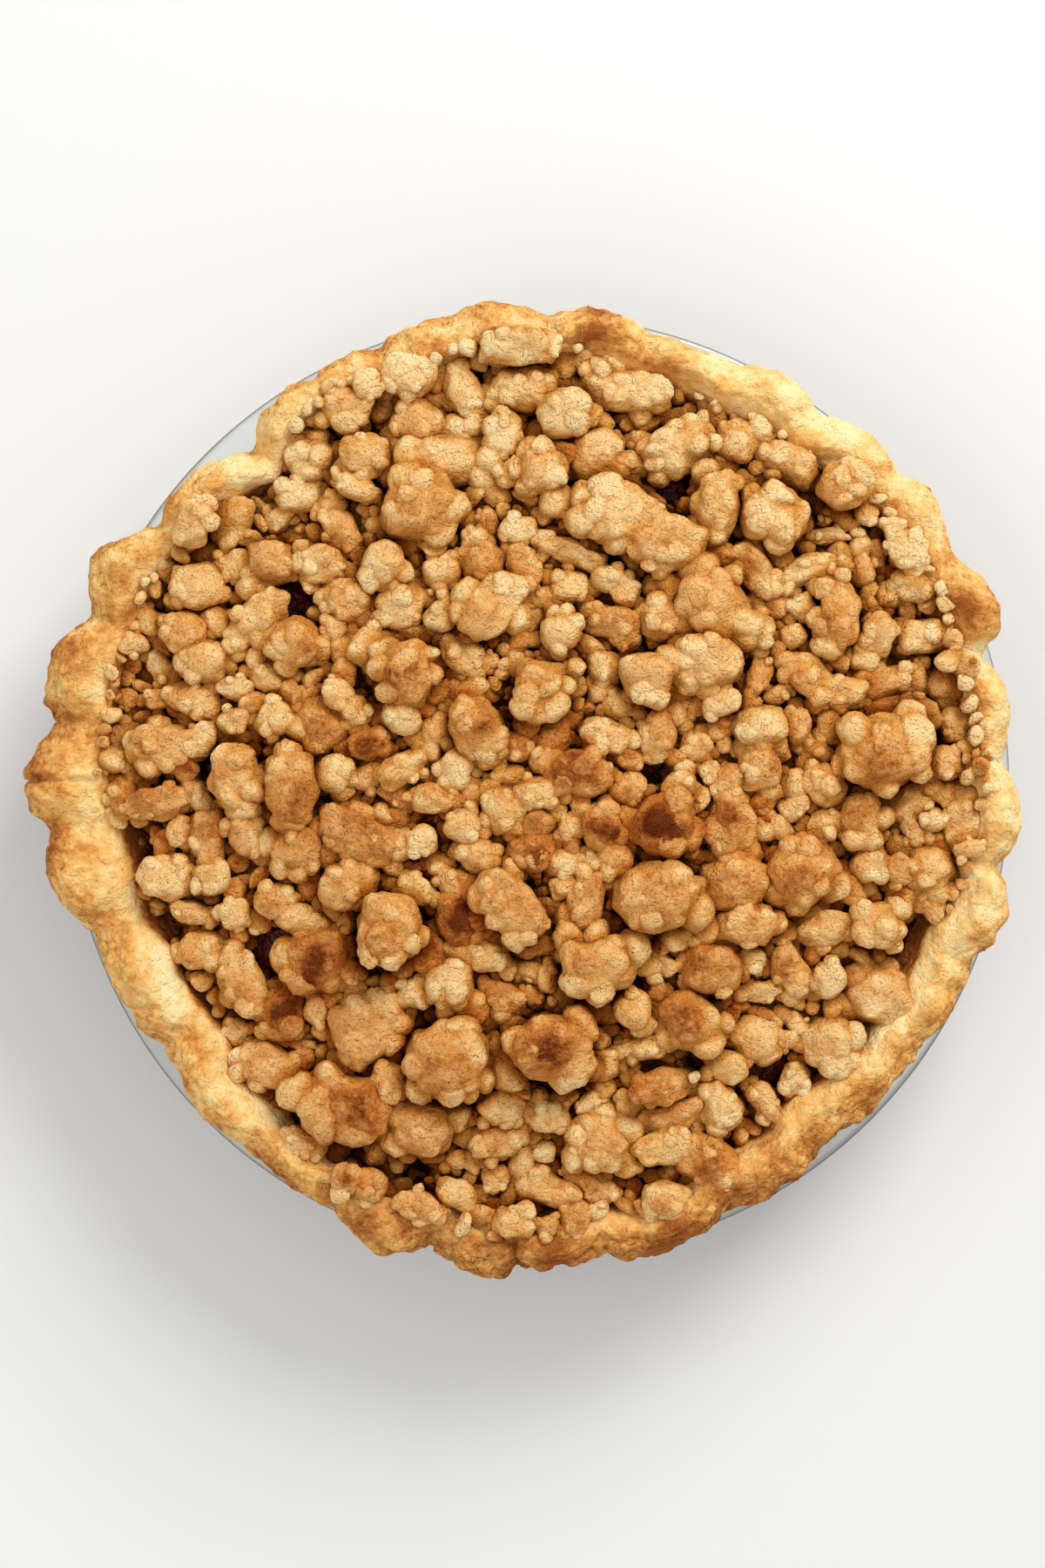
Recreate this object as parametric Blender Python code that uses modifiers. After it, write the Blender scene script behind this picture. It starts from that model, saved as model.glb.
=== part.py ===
# Apple crumble pie in its clear glass pie dish, baked and uncut.
#
# Four solids, from the outside in: the glass dish, the pastry crust that lines it and
# stands over its rim in uneven crimps, the apple filling, and the heap of crumble
# clumps baked together on top.
#
# Metres, +Z up. The origin is on the dish's axis, at the underside of its base. Angles
# are in degrees, anticlockwise from +X as seen from above. In the tables of places and
# reaches the lengths are in millimetres from the dish's axis.

import math
import random

import bmesh
import bpy
from mathutils import Euler, Matrix, Vector

MM = 0.001

# Every turned or lofted shape has points at the same angles, so that the flat faces of
# two pieces that fit together run parallel.
COLUMNS = 96
COLUMN_ANGLES = [360 * i / COLUMNS for i in range(COLUMNS)]
DISH_STEPS = COLUMNS // 2
ROUNDING_STEPS = 1

# What the pieces that touch keep between them.
GAP = 0.3 * MM

# Dish: the usual nine inch glass pie plate, with a narrow flange at the rim.
DISH_RADIUS = 121 * MM
DISH_HEIGHT = 38 * MM
FLANGE_WIDTH = 10 * MM
FLANGE_THICKNESS = 4 * MM
DISH_FOOT_RADIUS = 87 * MM
DISH_FLOOR_RADIUS = 85.5 * MM
DISH_FLOOR_THICKNESS = 4.5 * MM
DISH_SHOULDER_RADIUS = 112.7 * MM
DISH_ROUNDING = 4 * MM
FLANGE_ROUNDING = 1.6 * MM

# Crust: rolled pastry, its edge folded under on the flange and crimped by hand.
PASTRY = 5 * MM
CREST_HEIGHT = 10.5 * MM
CREST_SETBACK = 7 * MM
CREST_WANDER = 0.6 * MM
CRIMP_LIFT = 2.4 * MM
EDGE_ROLL = 3 * MM
INNER_LIP_RADIUS = 110.5 * MM
INNER_LIP_DROP = 2.2 * MM
INNER_SLOPE_RADIUS = 106 * MM
INNER_SLOPE_HEIGHT = 42.5 * MM
WALL_TOP_RADIUS = 103 * MM
WALL_TOP_HEIGHT = 37 * MM
CRUST_FLOOR_RADIUS = 82.5 * MM
CRUST_FLOOR_HEIGHT = DISH_FLOOR_THICKNESS + GAP + PASTRY

# Each crimp: the angle of its tip, the reach of the tip, and the reach of the dip that
# follows it.
CRIMPS = (
    (10.5, 122.5, 118.4), (22.0, 126.2, 121.1), (36.0, 125.0, 122.1), (46.5, 123.6, 118.0),
    (59.0, 124.2, 118.9), (70.5, 120.8, 119.1), (82.0, 124.0, 120.5), (96.0, 125.4, 121.7),
    (105.0, 122.6, 119.5), (114.0, 121.2, 120.4), (122.5, 121.5, 114.5), (139.0, 119.6, 118.8),
    (152.5, 128.3, 124.1), (165.5, 129.4, 124.8), (179.5, 131.2, 126.8), (191.0, 128.0, 120.5),
    (205.5, 121.0, 117.4), (225.0, 121.5, 119.8), (237.5, 121.0, 120.0), (251.0, 124.9, 120.9),
    (263.0, 125.6, 122.8), (271.5, 124.6, 121.3), (285.5, 123.6, 117.6), (304.0, 121.5, 116.7),
    (318.0, 120.4, 119.2), (330.5, 120.8, 119.9), (345.0, 124.6, 121.5), (356.0, 123.9, 118.3),
)

# Filling: a low mound of apple, level with the wall of the crust at its edge.
FILLING_EDGE_HEIGHT = WALL_TOP_HEIGHT - 0.5 * MM
FILLING_RISE = 11.5 * MM
FILLING_CLEARANCE = 1.4 * MM
FILLING_BULGE = 0.7 * MM
BULGE_LENGTH = 31 * MM
FILLING_RINGS = (0.8, 0.4)

# Crumble: a domed bed over the filling and the foot of the crust's inner slope, with the
# clumps fused on. The rings are shares of how far the bed reaches.
BED_EDGE_HEIGHT = 44.5 * MM
BED_RISE = 12.5 * MM
BED_MARGIN = 6 * MM
BED_UNDERSIDE = 34 * MM
BED_RINGS = (1, 0.75, 0.4)
BED_COLUMN_STEP = 4
CRUMBLE_GAP = 0.5 * MM

# Where the crumble ends, as (angle, reach). It stops short on the lower left and lower
# right, where the crust's inner slope is bare.
CRUMBLE_EDGE = (
    (0, 113), (20, 114), (40, 112), (55, 109), (75, 107), (92, 113), (108, 110),
    (120, 111), (132, 103), (143, 110), (160, 110), (178, 111), (189, 103), (204, 102),
    (216, 98), (228, 105), (243, 110), (254, 113), (270, 113), (284, 111), (300, 107),
    (312, 103), (322, 106), (335, 103), (348, 110),
)

# A clump is a rough ball, flattened, sunk in the bed and a little askew. Its foot spreads
# into its neighbours', whose middles keep the spacing's share of their sizes apart.
CLUMP_FLATNESS = 0.92
CLUMP_SINK = 0.15
CLUMP_SPREAD = 1.18
CLUMP_TILT = 9
CLUMP_ROUGHNESS = 0.1
CLUMP_SPACING = 0.88
CLUMP_SEED = 20

# The clumps that stand out most: east, north, length, width and turn.
LANDMARKS = (
    (31, -9, 19, 16, 20), (11, 3, 17, 12, -15), (-19, -34, 17, 13, -20), (-38, -35, 18, 17, 60),
    (-7, -30, 21, 15, -50), (29, -28, 20, 16, 0), (12, -28, 16, 13, 80), (49, -10, 17, 15, 90),
    (-63, 0, 18, 14, 85), (-61, -15, 14, 12, 0), (-44, -11, 21, 13, -15), (-32, 28, 17, 14, 80),
    (-17, 16, 18, 13, -50), (0, 24, 16, 13, 80), (-31, 70, 19, 17, 90), (-22, 83, 26, 15, 0),
    (-18, 98, 18, 10, -55), (-4, 101, 17, 13, 0), (21, 101, 22, 11, -10), (36, 86, 21, 13, 15),
    (46, 70, 19, 13, 85), (61, 68, 16, 15, 0), (31, 61, 21, 13, -10), (43, 46, 22, 17, -40),
    (43, 32, 17, 13, 0), (17, 43, 17, 9, -10), (-72, 42, 20, 12, 40), (-61, 36, 13, 12, 0),
    (-55, 16, 15, 14, 30), (-43, 11, 13, 9, 0), (-95, 9, 20, 10, 0), (87, 9, 22, 17, 15),
    (67, 28, 20, 11, -40), (76, 44, 20, 12, 80), (67, -22, 18, 15, 40), (49, -24, 18, 13, 5),
    (15, -45, 20, 14, 10), (3, -65, 20, 16, 0), (-23, -69, 20, 18, 0), (-50, -81, 25, 17, -10),
    (-42, -60, 22, 17, 0), (-65, -58, 15, 12, 75), (-56, -44, 18, 15, 45), (-75, -50, 20, 11, -60),
    (32, -76, 20, 10, 12), (33, -88, 19, 10, 10), (39, -60, 20, 14, -50), (86, -53, 18, 14, 0),
    (44, -96, 20, 12, -30), (19, 69, 20, 15, 0), (14, -90, 17, 13, -40), (74, -65, 15, 13, 0),
)

# The clumps between them, as (shortest, longest, how many places are tried).
FILL_SIZES = ((13, 17, 600), (10.5, 13, 1300), (9, 10.5, 900))
FILL_NARROWEST = 0.7

# Deep places that stay open down to the bed, as (east, north, radius).
OPEN_PLACES = (
    (-104, -15, 6), (-94, -36, 5), (-67, -42, 5), (-62, 47, 4), (-82, 5, 3), (33, 77, 4),
    (59, -72, 5), (81, -62, 4), (97, -40, 6), (41, -70, 3), (-38, -101, 5), (29, 4, 3),
)


def clear_scene():
    for obj in list(bpy.data.objects):
        bpy.data.objects.remove(obj, do_unlink=True)


def new_collection(name, hidden=False):
    collection = bpy.data.collections.new(name)
    bpy.context.scene.collection.children.link(collection)
    collection.hide_render = hidden
    return collection


def new_object(name, mesh, collection):
    obj = bpy.data.objects.new(name, mesh)
    collection.objects.link(obj)
    return obj


def give_finish(obj, name, colour, roughness, transmission=0.0):
    finish = bpy.data.materials.new(name)
    finish.use_nodes = True
    shader = finish.node_tree.nodes["Principled BSDF"]
    shader.inputs["Base Color"].default_value = (*colour, 1)
    shader.inputs["Roughness"].default_value = roughness
    shader.inputs["Metallic"].default_value = 0
    shader.inputs["Transmission Weight"].default_value = transmission
    finish.diffuse_color = (*colour, 1)
    obj.data.materials.clear()
    obj.data.materials.append(finish)


def shade_round(mesh, sharp_degrees):
    mesh.shade_smooth()
    mesh.set_sharp_from_angle(angle=math.radians(sharp_degrees))


def at_angle(degrees, radius, height):
    turn = math.radians(degrees)
    return Vector((radius * math.cos(turn), radius * math.sin(turn), height))


def ease(low, high, share):
    """From low to high on half a cosine wave."""
    return low + (high - low) * (1 - math.cos(math.pi * share)) / 2


def read_table(rows, degrees):
    """The value at an angle, eased between the rows of (angle, value) round the circle."""
    rows = [(rows[-1][0] - 360, rows[-1][1]), *rows, (rows[0][0] + 360, rows[0][1])]
    for (start, low), (end, high) in zip(rows, rows[1:]):
        if start <= degrees <= end:
            return ease(low, high, (degrees - start) / (end - start))
    raise ValueError(f"{degrees} degrees is outside the table")


def loft(name, rings):
    """A closed mesh through rings of as many points each, from the middle of the
    underside outwards, up, and back in to the middle of the top."""
    bm = bmesh.new()
    loops = [[bm.verts.new(point) for point in ring] for ring in rings]
    columns = len(rings[0])
    beside = [(i, (i + 1) % columns) for i in range(columns)]
    for lower, upper in zip(loops, loops[1:]):
        for i, j in beside:
            bm.faces.new((lower[i], lower[j], upper[j], upper[i]))
    underside = bm.verts.new(sum(rings[0], Vector()) / columns)
    top = bm.verts.new(sum(rings[-1], Vector()) / columns)
    for i, j in beside:
        bm.faces.new((underside, loops[0][j], loops[0][i]))
        bm.faces.new((top, loops[-1][i], loops[-1][j]))
    bmesh.ops.triangulate(bm, faces=bm.faces, quad_method="FIXED")
    mesh = bpy.data.meshes.new(name)
    bm.to_mesh(mesh)
    bm.free()
    return mesh


def rounded(corners, steps=ROUNDING_STEPS):
    """The points of an outline of (radius, height, rounding) corners, each rounded corner
    drawn as a curve of a few steps."""
    points = []
    for before, corner, after in zip([None, *corners], corners, [*corners[1:], None]):
        here = Vector(corner[:2])
        if corner[2] == 0 or before is None or after is None:
            points.append(here)
            continue
        start = here + (Vector(before[:2]) - here).normalized() * corner[2]
        end = here + (Vector(after[:2]) - here).normalized() * corner[2]
        for i in range(steps + 1):
            share = i / steps
            points.append(start.lerp(here, share).lerp(here.lerp(end, share), share))
    return points


# Glass dish

def dish_outline():
    rim = DISH_RADIUS - FLANGE_WIDTH
    under_flange = DISH_HEIGHT - FLANGE_THICKNESS
    return rounded((
        (0, DISH_FLOOR_THICKNESS, 0),
        (DISH_FLOOR_RADIUS, DISH_FLOOR_THICKNESS, DISH_ROUNDING),
        (rim, DISH_HEIGHT, FLANGE_ROUNDING),
        (DISH_RADIUS, DISH_HEIGHT, FLANGE_ROUNDING),
        (DISH_RADIUS, under_flange, FLANGE_ROUNDING),
        (DISH_SHOULDER_RADIUS, under_flange, FLANGE_ROUNDING),
        (DISH_FOOT_RADIUS, 0, DISH_ROUNDING),
        (0, 0, 0),
    ))


def dish_inside():
    """The outline's points from the edge of the floor to the inner edge of the rim."""
    return dish_outline()[1:1 + 2 * (ROUNDING_STEPS + 1)]


def make_dish(collection):
    """The outline turned round the dish's axis."""
    outline = [Vector((p.x, 0, p.y)) for p in dish_outline()]
    mesh = bpy.data.meshes.new("glass_dish")
    mesh.from_pydata(outline, [(i, i + 1) for i in range(len(outline) - 1)], [])
    dish = new_object("glass_dish", mesh, collection)
    turn = dish.modifiers.new("turn", "SCREW")
    turn.steps = DISH_STEPS
    turn.render_steps = DISH_STEPS
    turn.use_merge_vertices = True
    turn.merge_threshold = 0.00001
    turn.use_smooth_shade = True
    give_finish(dish, "clear_pressed_glass", (0.86, 0.92, 0.9), 0.04, transmission=1.0)
    return dish


# Crust

def crimp_tables():
    """The crust's reach round the circle, and how full the crimp is there: 1 at a tip
    and 0 in a dip."""
    reaches = []
    fullness = []
    following = [*CRIMPS[1:], (CRIMPS[0][0] + 360, *CRIMPS[0][1:])]
    for (tip, reach, dip_reach), (next_tip, _, _) in zip(CRIMPS, following):
        dip = (tip + next_tip) / 2
        for angle, value, full in ((tip, reach, 1), (dip, dip_reach, 0)):
            reaches.append((angle % 360, value * MM))
            fullness.append((angle % 360, full))
    return sorted(reaches), sorted(fullness)


REACHES, FULLNESS = crimp_tables()


def crest_height(degrees):
    """The crimps' tips stand higher than the dips between them."""
    lift = CRIMP_LIFT * (read_table(FULLNESS, degrees) - 0.5)
    wander = CREST_WANDER * math.sin(math.radians(5 * degrees + 40))
    return DISH_HEIGHT + GAP + CREST_HEIGHT + lift + wander


def slump(degrees):
    """How far the crust's inner slope sags inwards, where it is bare of crumble."""
    return max(0, WALL_TOP_RADIUS - read_table(CRUMBLE_EDGE, degrees) * MM)


def crust_top(degrees):
    """The crust's upper side at one angle, as (radius, height) from the tip inwards."""
    reach = read_table(REACHES, degrees)
    crest = crest_height(degrees)
    sag = slump(degrees)
    return (
        (reach - 0.5 * MM, DISH_HEIGHT + 0.62 * (crest - DISH_HEIGHT)),
        (reach - 0.4 * CREST_SETBACK, crest - 1.2 * MM),
        (reach - CREST_SETBACK, crest),
        (min(INNER_LIP_RADIUS, reach - CREST_SETBACK - 3 * MM), crest - INNER_LIP_DROP),
        (INNER_SLOPE_RADIUS - sag / 2, INNER_SLOPE_HEIGHT),
        (WALL_TOP_RADIUS - sag, WALL_TOP_HEIGHT),
    )


def crust_underside(degrees):
    """The crust's lower side at one angle, along the dish and out over its flange. It
    keeps twice the gap from the wall, because the dish has half as many sides."""
    reach = read_table(REACHES, degrees)
    over_flange = DISH_HEIGHT + GAP
    return (
        *((p.x - 2 * GAP, p.y + GAP) for p in dish_inside()),
        (reach - EDGE_ROLL, over_flange),
        (reach, over_flange + EDGE_ROLL),
    )


def ring(outline, index):
    """The points, at every column's angle, that an outline has at one index."""
    return [at_angle(degrees, *outline(degrees)[index]) for degrees in COLUMN_ANGLES]


def make_crust(collection):
    under = [ring(crust_underside, i) for i in range(len(crust_underside(0)))]
    over = [ring(crust_top, i) for i in range(len(crust_top(0)))]
    floor = [at_angle(degrees, CRUST_FLOOR_RADIUS, CRUST_FLOOR_HEIGHT) for degrees in COLUMN_ANGLES]
    crust = new_object("crust", loft("crust", [*under, *over, floor]), collection)
    shade_round(crust.data, 50)
    give_finish(crust, "baked_shortcrust_pastry", (0.62, 0.38, 0.16), 0.6)
    return crust


# Filling

def filling_edge(degrees):
    return WALL_TOP_RADIUS - slump(degrees) - FILLING_CLEARANCE


def mound_height(degrees, radius):
    """The top of the filling: a low mound, dimpled where the apple lies unevenly."""
    share = radius / filling_edge(degrees)
    place = at_angle(degrees, radius, 0) / BULGE_LENGTH
    dimple = math.sin(place.x + 1) * math.sin(1.3 * place.y) * (1 - share ** 4)
    return FILLING_EDGE_HEIGHT + FILLING_RISE * (1 - share ** 2) + FILLING_BULGE * dimple


def mound_rings(lift=0.0):
    rings = []
    for share in FILLING_RINGS:
        points = []
        for degrees in COLUMN_ANGLES:
            radius = share * filling_edge(degrees)
            points.append(at_angle(degrees, radius, mound_height(degrees, radius) + lift))
        rings.append(points)
    return rings


def make_filling(collection):
    foot = [
        at_angle(degrees, CRUST_FLOOR_RADIUS - FILLING_CLEARANCE, CRUST_FLOOR_HEIGHT + GAP)
        for degrees in COLUMN_ANGLES
    ]
    edge = [
        at_angle(degrees, filling_edge(degrees), FILLING_EDGE_HEIGHT) for degrees in COLUMN_ANGLES
    ]
    mesh = loft("apple_filling", [foot, edge, *mound_rings()])
    filling = new_object("apple_filling", mesh, collection)
    shade_round(filling.data, 50)
    give_finish(filling, "cooked_spiced_apple", (0.38, 0.15, 0.04), 0.3)
    return filling


# Crumble

def polar(x, y):
    return math.degrees(math.atan2(y, x)) % 360, math.hypot(x, y)


def crumble_reach(degrees):
    return read_table(CRUMBLE_EDGE, degrees) * MM


def bed_height(degrees, radius):
    """The top of the bed that the clumps are fused on."""
    share = radius / crumble_reach(degrees)
    return BED_EDGE_HEIGHT + BED_RISE * (1 - share ** 2)


def bed_mesh():
    angles = COLUMN_ANGLES[::BED_COLUMN_STEP]
    reaches = [crumble_reach(degrees) - BED_MARGIN for degrees in angles]
    rings = [[
        at_angle(degrees, min(reach, filling_edge(degrees)) - BED_MARGIN, BED_UNDERSIDE)
        for degrees, reach in zip(angles, reaches)
    ]]
    for share in BED_RINGS:
        rings.append([
            at_angle(degrees, share * reach, bed_height(degrees, share * reach))
            for degrees, reach in zip(angles, reaches)
        ])
    return loft("crumble_topping", rings)


def place_clumps():
    """Where each clump lies, as (x, y, length, width, turn): first those that stand out
    most, then the rest by size, the largest first."""
    draw = random.Random(CLUMP_SEED)
    clumps = [(x * MM, y * MM, a * MM, b * MM, turn) for x, y, a, b, turn in LANDMARKS]
    keep_open = [(x * MM, y * MM, radius * MM) for x, y, radius in OPEN_PLACES]
    for shortest, longest, tries in FILL_SIZES:
        for _ in range(tries):
            length = draw.uniform(shortest, longest) * MM
            width = length * draw.uniform(FILL_NARROWEST, 1)
            radius = max(crumble_reach(a) for a in (0, 90, 180)) * math.sqrt(draw.random())
            degrees = draw.uniform(0, 360)
            x, y, _ = at_angle(degrees, radius, 0)
            turn = draw.uniform(0, 180)
            own = (length + width) / 4
            if radius + own > crumble_reach(degrees):
                continue
            if any(math.hypot(x - u, y - v) < own + r for u, v, r in keep_open):
                continue
            if all(
                math.hypot(x - u, y - v) > CLUMP_SPACING * (own + (a + b) / 4)
                for u, v, a, b, _ in clumps
            ):
                clumps.append((x, y, length, width, turn))
    return clumps


def clump_mesh(draw):
    """A rough ball of unit radius."""
    bm = bmesh.new()
    bmesh.ops.create_icosphere(bm, subdivisions=1, radius=1)
    for vertex in bm.verts:
        vertex.co *= 1 + draw.uniform(-1, 1) * CLUMP_ROUGHNESS
    mesh = bpy.data.meshes.new("clump")
    bm.to_mesh(mesh)
    bm.free()
    return mesh


def make_clumps(collection):
    draw = random.Random(CLUMP_SEED + 1)
    for x, y, length, width, turn in place_clumps():
        height = width * CLUMP_FLATNESS
        degrees, radius = polar(x, y)
        spread = CLUMP_SPREAD / 2
        size = Matrix.Diagonal((length * spread, width * spread, height / 2, 1))
        tilt = Euler([math.radians(draw.uniform(-CLUMP_TILT, CLUMP_TILT)) for _ in "xy"] + [0])
        turned = Matrix.Rotation(math.radians(turn), 4, "Z") @ tilt.to_matrix().to_4x4()
        centre = Vector((x, y, bed_height(degrees, radius) - CLUMP_SINK * height / 2))
        mesh = clump_mesh(draw)
        mesh.transform(Matrix.Translation(centre) @ turned @ size)
        new_object("clump", mesh, collection)


def make_clearance(collection):
    """What lies under the crumble, raised by the gap and carried out past the crust."""
    lift = Vector((0, 0, CRUMBLE_GAP))
    beyond = 2 * DISH_RADIUS
    above = 2 * DISH_HEIGHT
    slope = [
        [point + lift for point in ring(crust_top, i)] for i in range(2, len(crust_top(0)))
    ]
    mesh = loft("clearance", [
        [at_angle(degrees, beyond, 0) for degrees in COLUMN_ANGLES],
        [at_angle(degrees, beyond, above) for degrees in COLUMN_ANGLES],
        *slope,
        *mound_rings(CRUMBLE_GAP),
    ])
    return new_object("clearance", mesh, collection)


def apply_boolean(obj, operation, collection=None, cutter=None):
    change = obj.modifiers.new("join", "BOOLEAN")
    change.operation = operation
    change.solver = "MANIFOLD"
    if collection:
        change.operand_type = "COLLECTION"
        change.collection = collection
    else:
        change.object = cutter
    seen = obj.evaluated_get(bpy.context.evaluated_depsgraph_get())
    mesh = bpy.data.meshes.new_from_object(seen)
    obj.modifiers.remove(change)
    obj.data = mesh


def keep_largest_body(mesh):
    """Drops loose scraps, and fills the hollows that fusing sealed by dropping their
    walls."""
    bm = bmesh.new()
    bm.from_mesh(mesh)
    unseen = set(bm.verts)
    bodies = []
    while unseen:
        body = set()
        edge = [unseen.pop()]
        while edge:
            vertex = edge.pop()
            body.add(vertex)
            near = {e.other_vert(vertex) for e in vertex.link_edges} & unseen
            unseen -= near
            edge.extend(near)
        bodies.append(body)
    bodies.sort(key=len)
    for body in bodies[:-1]:
        bmesh.ops.delete(bm, geom=list(body), context="VERTS")
    bm.to_mesh(mesh)
    bm.free()


def make_crumble(collection, clumps, cutters):
    """The bed and its clumps joined into one body, then cut to lie on the pie."""
    crumble = new_object("crumble_topping", bed_mesh(), collection)
    make_clumps(clumps)
    apply_boolean(crumble, "UNION", collection=clumps)
    for clump in list(clumps.objects):
        bpy.data.objects.remove(clump, do_unlink=True)
    apply_boolean(crumble, "DIFFERENCE", cutter=make_clearance(cutters))
    keep_largest_body(crumble.data)
    shade_round(crumble.data, 40)
    give_finish(crumble, "baked_butter_crumble", (0.55, 0.3, 0.11), 0.8)
    return crumble


def main():
    clear_scene()
    pie = new_collection("apple_crumble_pie")
    clumps = new_collection("crumble_clumps")
    cutters = new_collection("cutters", hidden=True)
    make_dish(pie)
    make_crust(pie)
    make_filling(pie)
    make_crumble(pie, clumps, cutters)
    for cutter in cutters.objects:
        cutter.hide_render = True
        cutter.display_type = "WIRE"


main()
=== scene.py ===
# Apple crumble pie in its clear glass pie dish: how every surface looks.
#
# Metres, +Z up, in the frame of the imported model. The tables of crimps, clumps and open
# places are the same real sizes that the model is made from: millimetres from the dish's
# axis, and degrees anticlockwise from +X as seen from above.

import math
import random

import bpy
import numpy as np
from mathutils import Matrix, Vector


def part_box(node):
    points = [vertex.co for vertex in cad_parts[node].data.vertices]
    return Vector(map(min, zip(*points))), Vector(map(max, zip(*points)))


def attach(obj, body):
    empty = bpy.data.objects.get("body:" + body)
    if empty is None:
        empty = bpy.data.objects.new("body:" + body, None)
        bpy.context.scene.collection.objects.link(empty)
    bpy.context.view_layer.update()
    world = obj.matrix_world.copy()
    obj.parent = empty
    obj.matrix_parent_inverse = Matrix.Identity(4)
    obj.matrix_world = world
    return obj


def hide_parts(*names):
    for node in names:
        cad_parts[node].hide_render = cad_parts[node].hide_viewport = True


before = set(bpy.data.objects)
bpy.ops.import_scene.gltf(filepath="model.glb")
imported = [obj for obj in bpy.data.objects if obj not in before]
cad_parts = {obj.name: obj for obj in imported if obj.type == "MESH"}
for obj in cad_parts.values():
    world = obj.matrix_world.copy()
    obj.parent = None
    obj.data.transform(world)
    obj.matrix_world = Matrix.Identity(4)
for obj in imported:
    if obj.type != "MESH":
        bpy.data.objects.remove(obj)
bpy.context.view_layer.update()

MM = 0.001

# The frame's own sizes
_, dish_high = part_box("glass_dish")
DISH_RADIUS = dish_high.x
DISH_HEIGHT = dish_high.z
FILLING_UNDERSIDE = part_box("apple_filling")[0].z

# Dish
FLANGE_WIDTH = 10 * MM
FLANGE_THICKNESS = 4 * MM
DISH_FOOT_RADIUS = 87 * MM
DISH_FLOOR_RADIUS = 85.5 * MM
DISH_FLOOR_THICKNESS = 4.5 * MM
DISH_SHOULDER_RADIUS = 112.7 * MM
DISH_ROUNDING = 4 * MM
FLANGE_ROUNDING = 1.7 * MM
ROUNDING_STEPS = 7
DISH_STEPS = 240
MERGE_WITHIN = 0.01 * MM

# The glass shows a dark line at the outside of its rim, this wide as seen from above.
RIM_LINE = 0.8 * MM

# How far pastry reaches into the glass that it lies on, so that no air shows between.
INTO_GLASS = 0.25 * MM

# Crust
PASTRY = 5 * MM
CREST_HEIGHT = 11.4 * MM
CREST_SETBACK = 7 * MM
CREST_WANDER = 0.8 * MM
CREST_WAVES = 5
CREST_TURN = 40
CRIMP_LIFT = 4.2 * MM
TIP_ROUNDNESS = 1.15
EDGE_ROLL = 3 * MM
EDGE_BULGE = 0.4 * MM
INNER_LIP_RADIUS = 110.5 * MM
INNER_LIP_DROP = 1.4 * MM
LEAST_CREST_WIDTH = 2.5 * MM
INNER_SLOPE_RADIUS = 106 * MM
INNER_SLOPE_HEIGHT = 44.3 * MM
LEAST_SLOPE_WIDTH = 1.5 * MM
WALL_TOP_RADIUS = 103 * MM
WALL_TOP_HEIGHT = 37 * MM
CRUST_FLOOR_RADIUS = 82.5 * MM
CRUST_MIDDLE_RADIUS = 10 * MM
CRUST_COLUMNS = 900

# Crumble that ends outside the slope pushes the slope and the lip out by these shares of
# how far, and the slope up by the third.
SLOPE_PUSHED = 0.9
LIP_PUSHED = 0.5
PUSH_RISE = 0.35

# To crumble that ends inside the wall, the crust comes in as a broad shelf: how far that
# overhangs its wall, and how much higher it is than the slope.
SHELF_OVERHANG = 1.2 * MM
SHELF_RISE = 2.5 * MM

# How many rows of faces the crust has between the corners of its section, from the middle
# of its underside, over the rim, to the middle of its floor.
CRUST_ROWS = (1, 2, 2, 3, 3, 3, 4, 8, 9, 9, 9, 10, 10, 9, 8, 3, 1)

# How brown the crust's section is, as (corner, share), from its edge over to its inside,
# for a crust that is baked by the share under it. Down its inner wall by the crumble, part
# of that brown is painted shade.
BROWNING_AND_PAINTED_SHADE = (
    (5, 0.5), (7, 0.62), (8.5, 0.62), (10, 0.5), (11, 0.36), (11.7, 0.24), (12.4, 0.3),
    (12.8, 0.85), (14, 1),
)
EVENLY_BAKED = 0.5

# In the same way, where the section is bare of glass and crumble, where it is the inner
# slope, and how flaky it is: so much where it is pale, and more where it is browned.
BARE = ((6.7, 0), (8, 1), (12.5, 1), (14, 0))
SLOPING = ((9.5, 0), (11, 1), (12.3, 1))
FLAKY = ((6, 1), (7, 1), (9.5, 0.7), (11, 0.3), (12.5, 0.15))
PALE_FLAKINESS = 0.3

# Each crimp: the angle of its tip, the reach of the tip, and the reach of the dip after.
CRIMPS = (
    (10.5, 122.0, 118.0), (22.0, 125.6, 120.6), (36.0, 124.4, 121.6), (46.5, 123.0, 117.6),
    (59.0, 122.8, 118.4), (70.5, 119.4, 118.0), (82.0, 122.6, 119.4), (96.0, 124.4, 121.0),
    (105.0, 121.6, 119.0), (114.0, 119.6, 118.6), (122.5, 119.6, 113.6), (139.0, 118.6, 117.8),
    (152.5, 127.2, 123.0), (165.5, 128.2, 123.6), (179.5, 130.0, 125.4), (191.0, 126.8, 119.4),
    (205.5, 119.0, 115.8), (225.0, 119.4, 118.0), (237.5, 119.6, 118.8), (251.0, 123.8, 120.2),
    (263.0, 124.6, 122.0), (271.5, 123.6, 120.4), (285.5, 122.4, 118.0), (304.0, 119.2, 116.4),
    (318.0, 118.2, 117.2), (330.5, 119.2, 118.2), (345.0, 123.4, 120.2), (356.0, 122.8, 117.8),
)

# How deeply the crust is crimped, as (angle, share): in firm knuckles on the left, and
# hardly at the top and on the right.
CRIMPING = (
    (0, 0.5), (22, 0.7), (40, 0.35), (62, 0.3), (82, 0.6), (98, 0.4), (112, 0.25), (130, 0.8),
    (152, 1), (180, 1), (200, 0.9), (222, 0.6), (245, 0.4), (270, 0.3), (296, 0.4), (318, 0.3),
    (340, 0.6),
)

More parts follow.
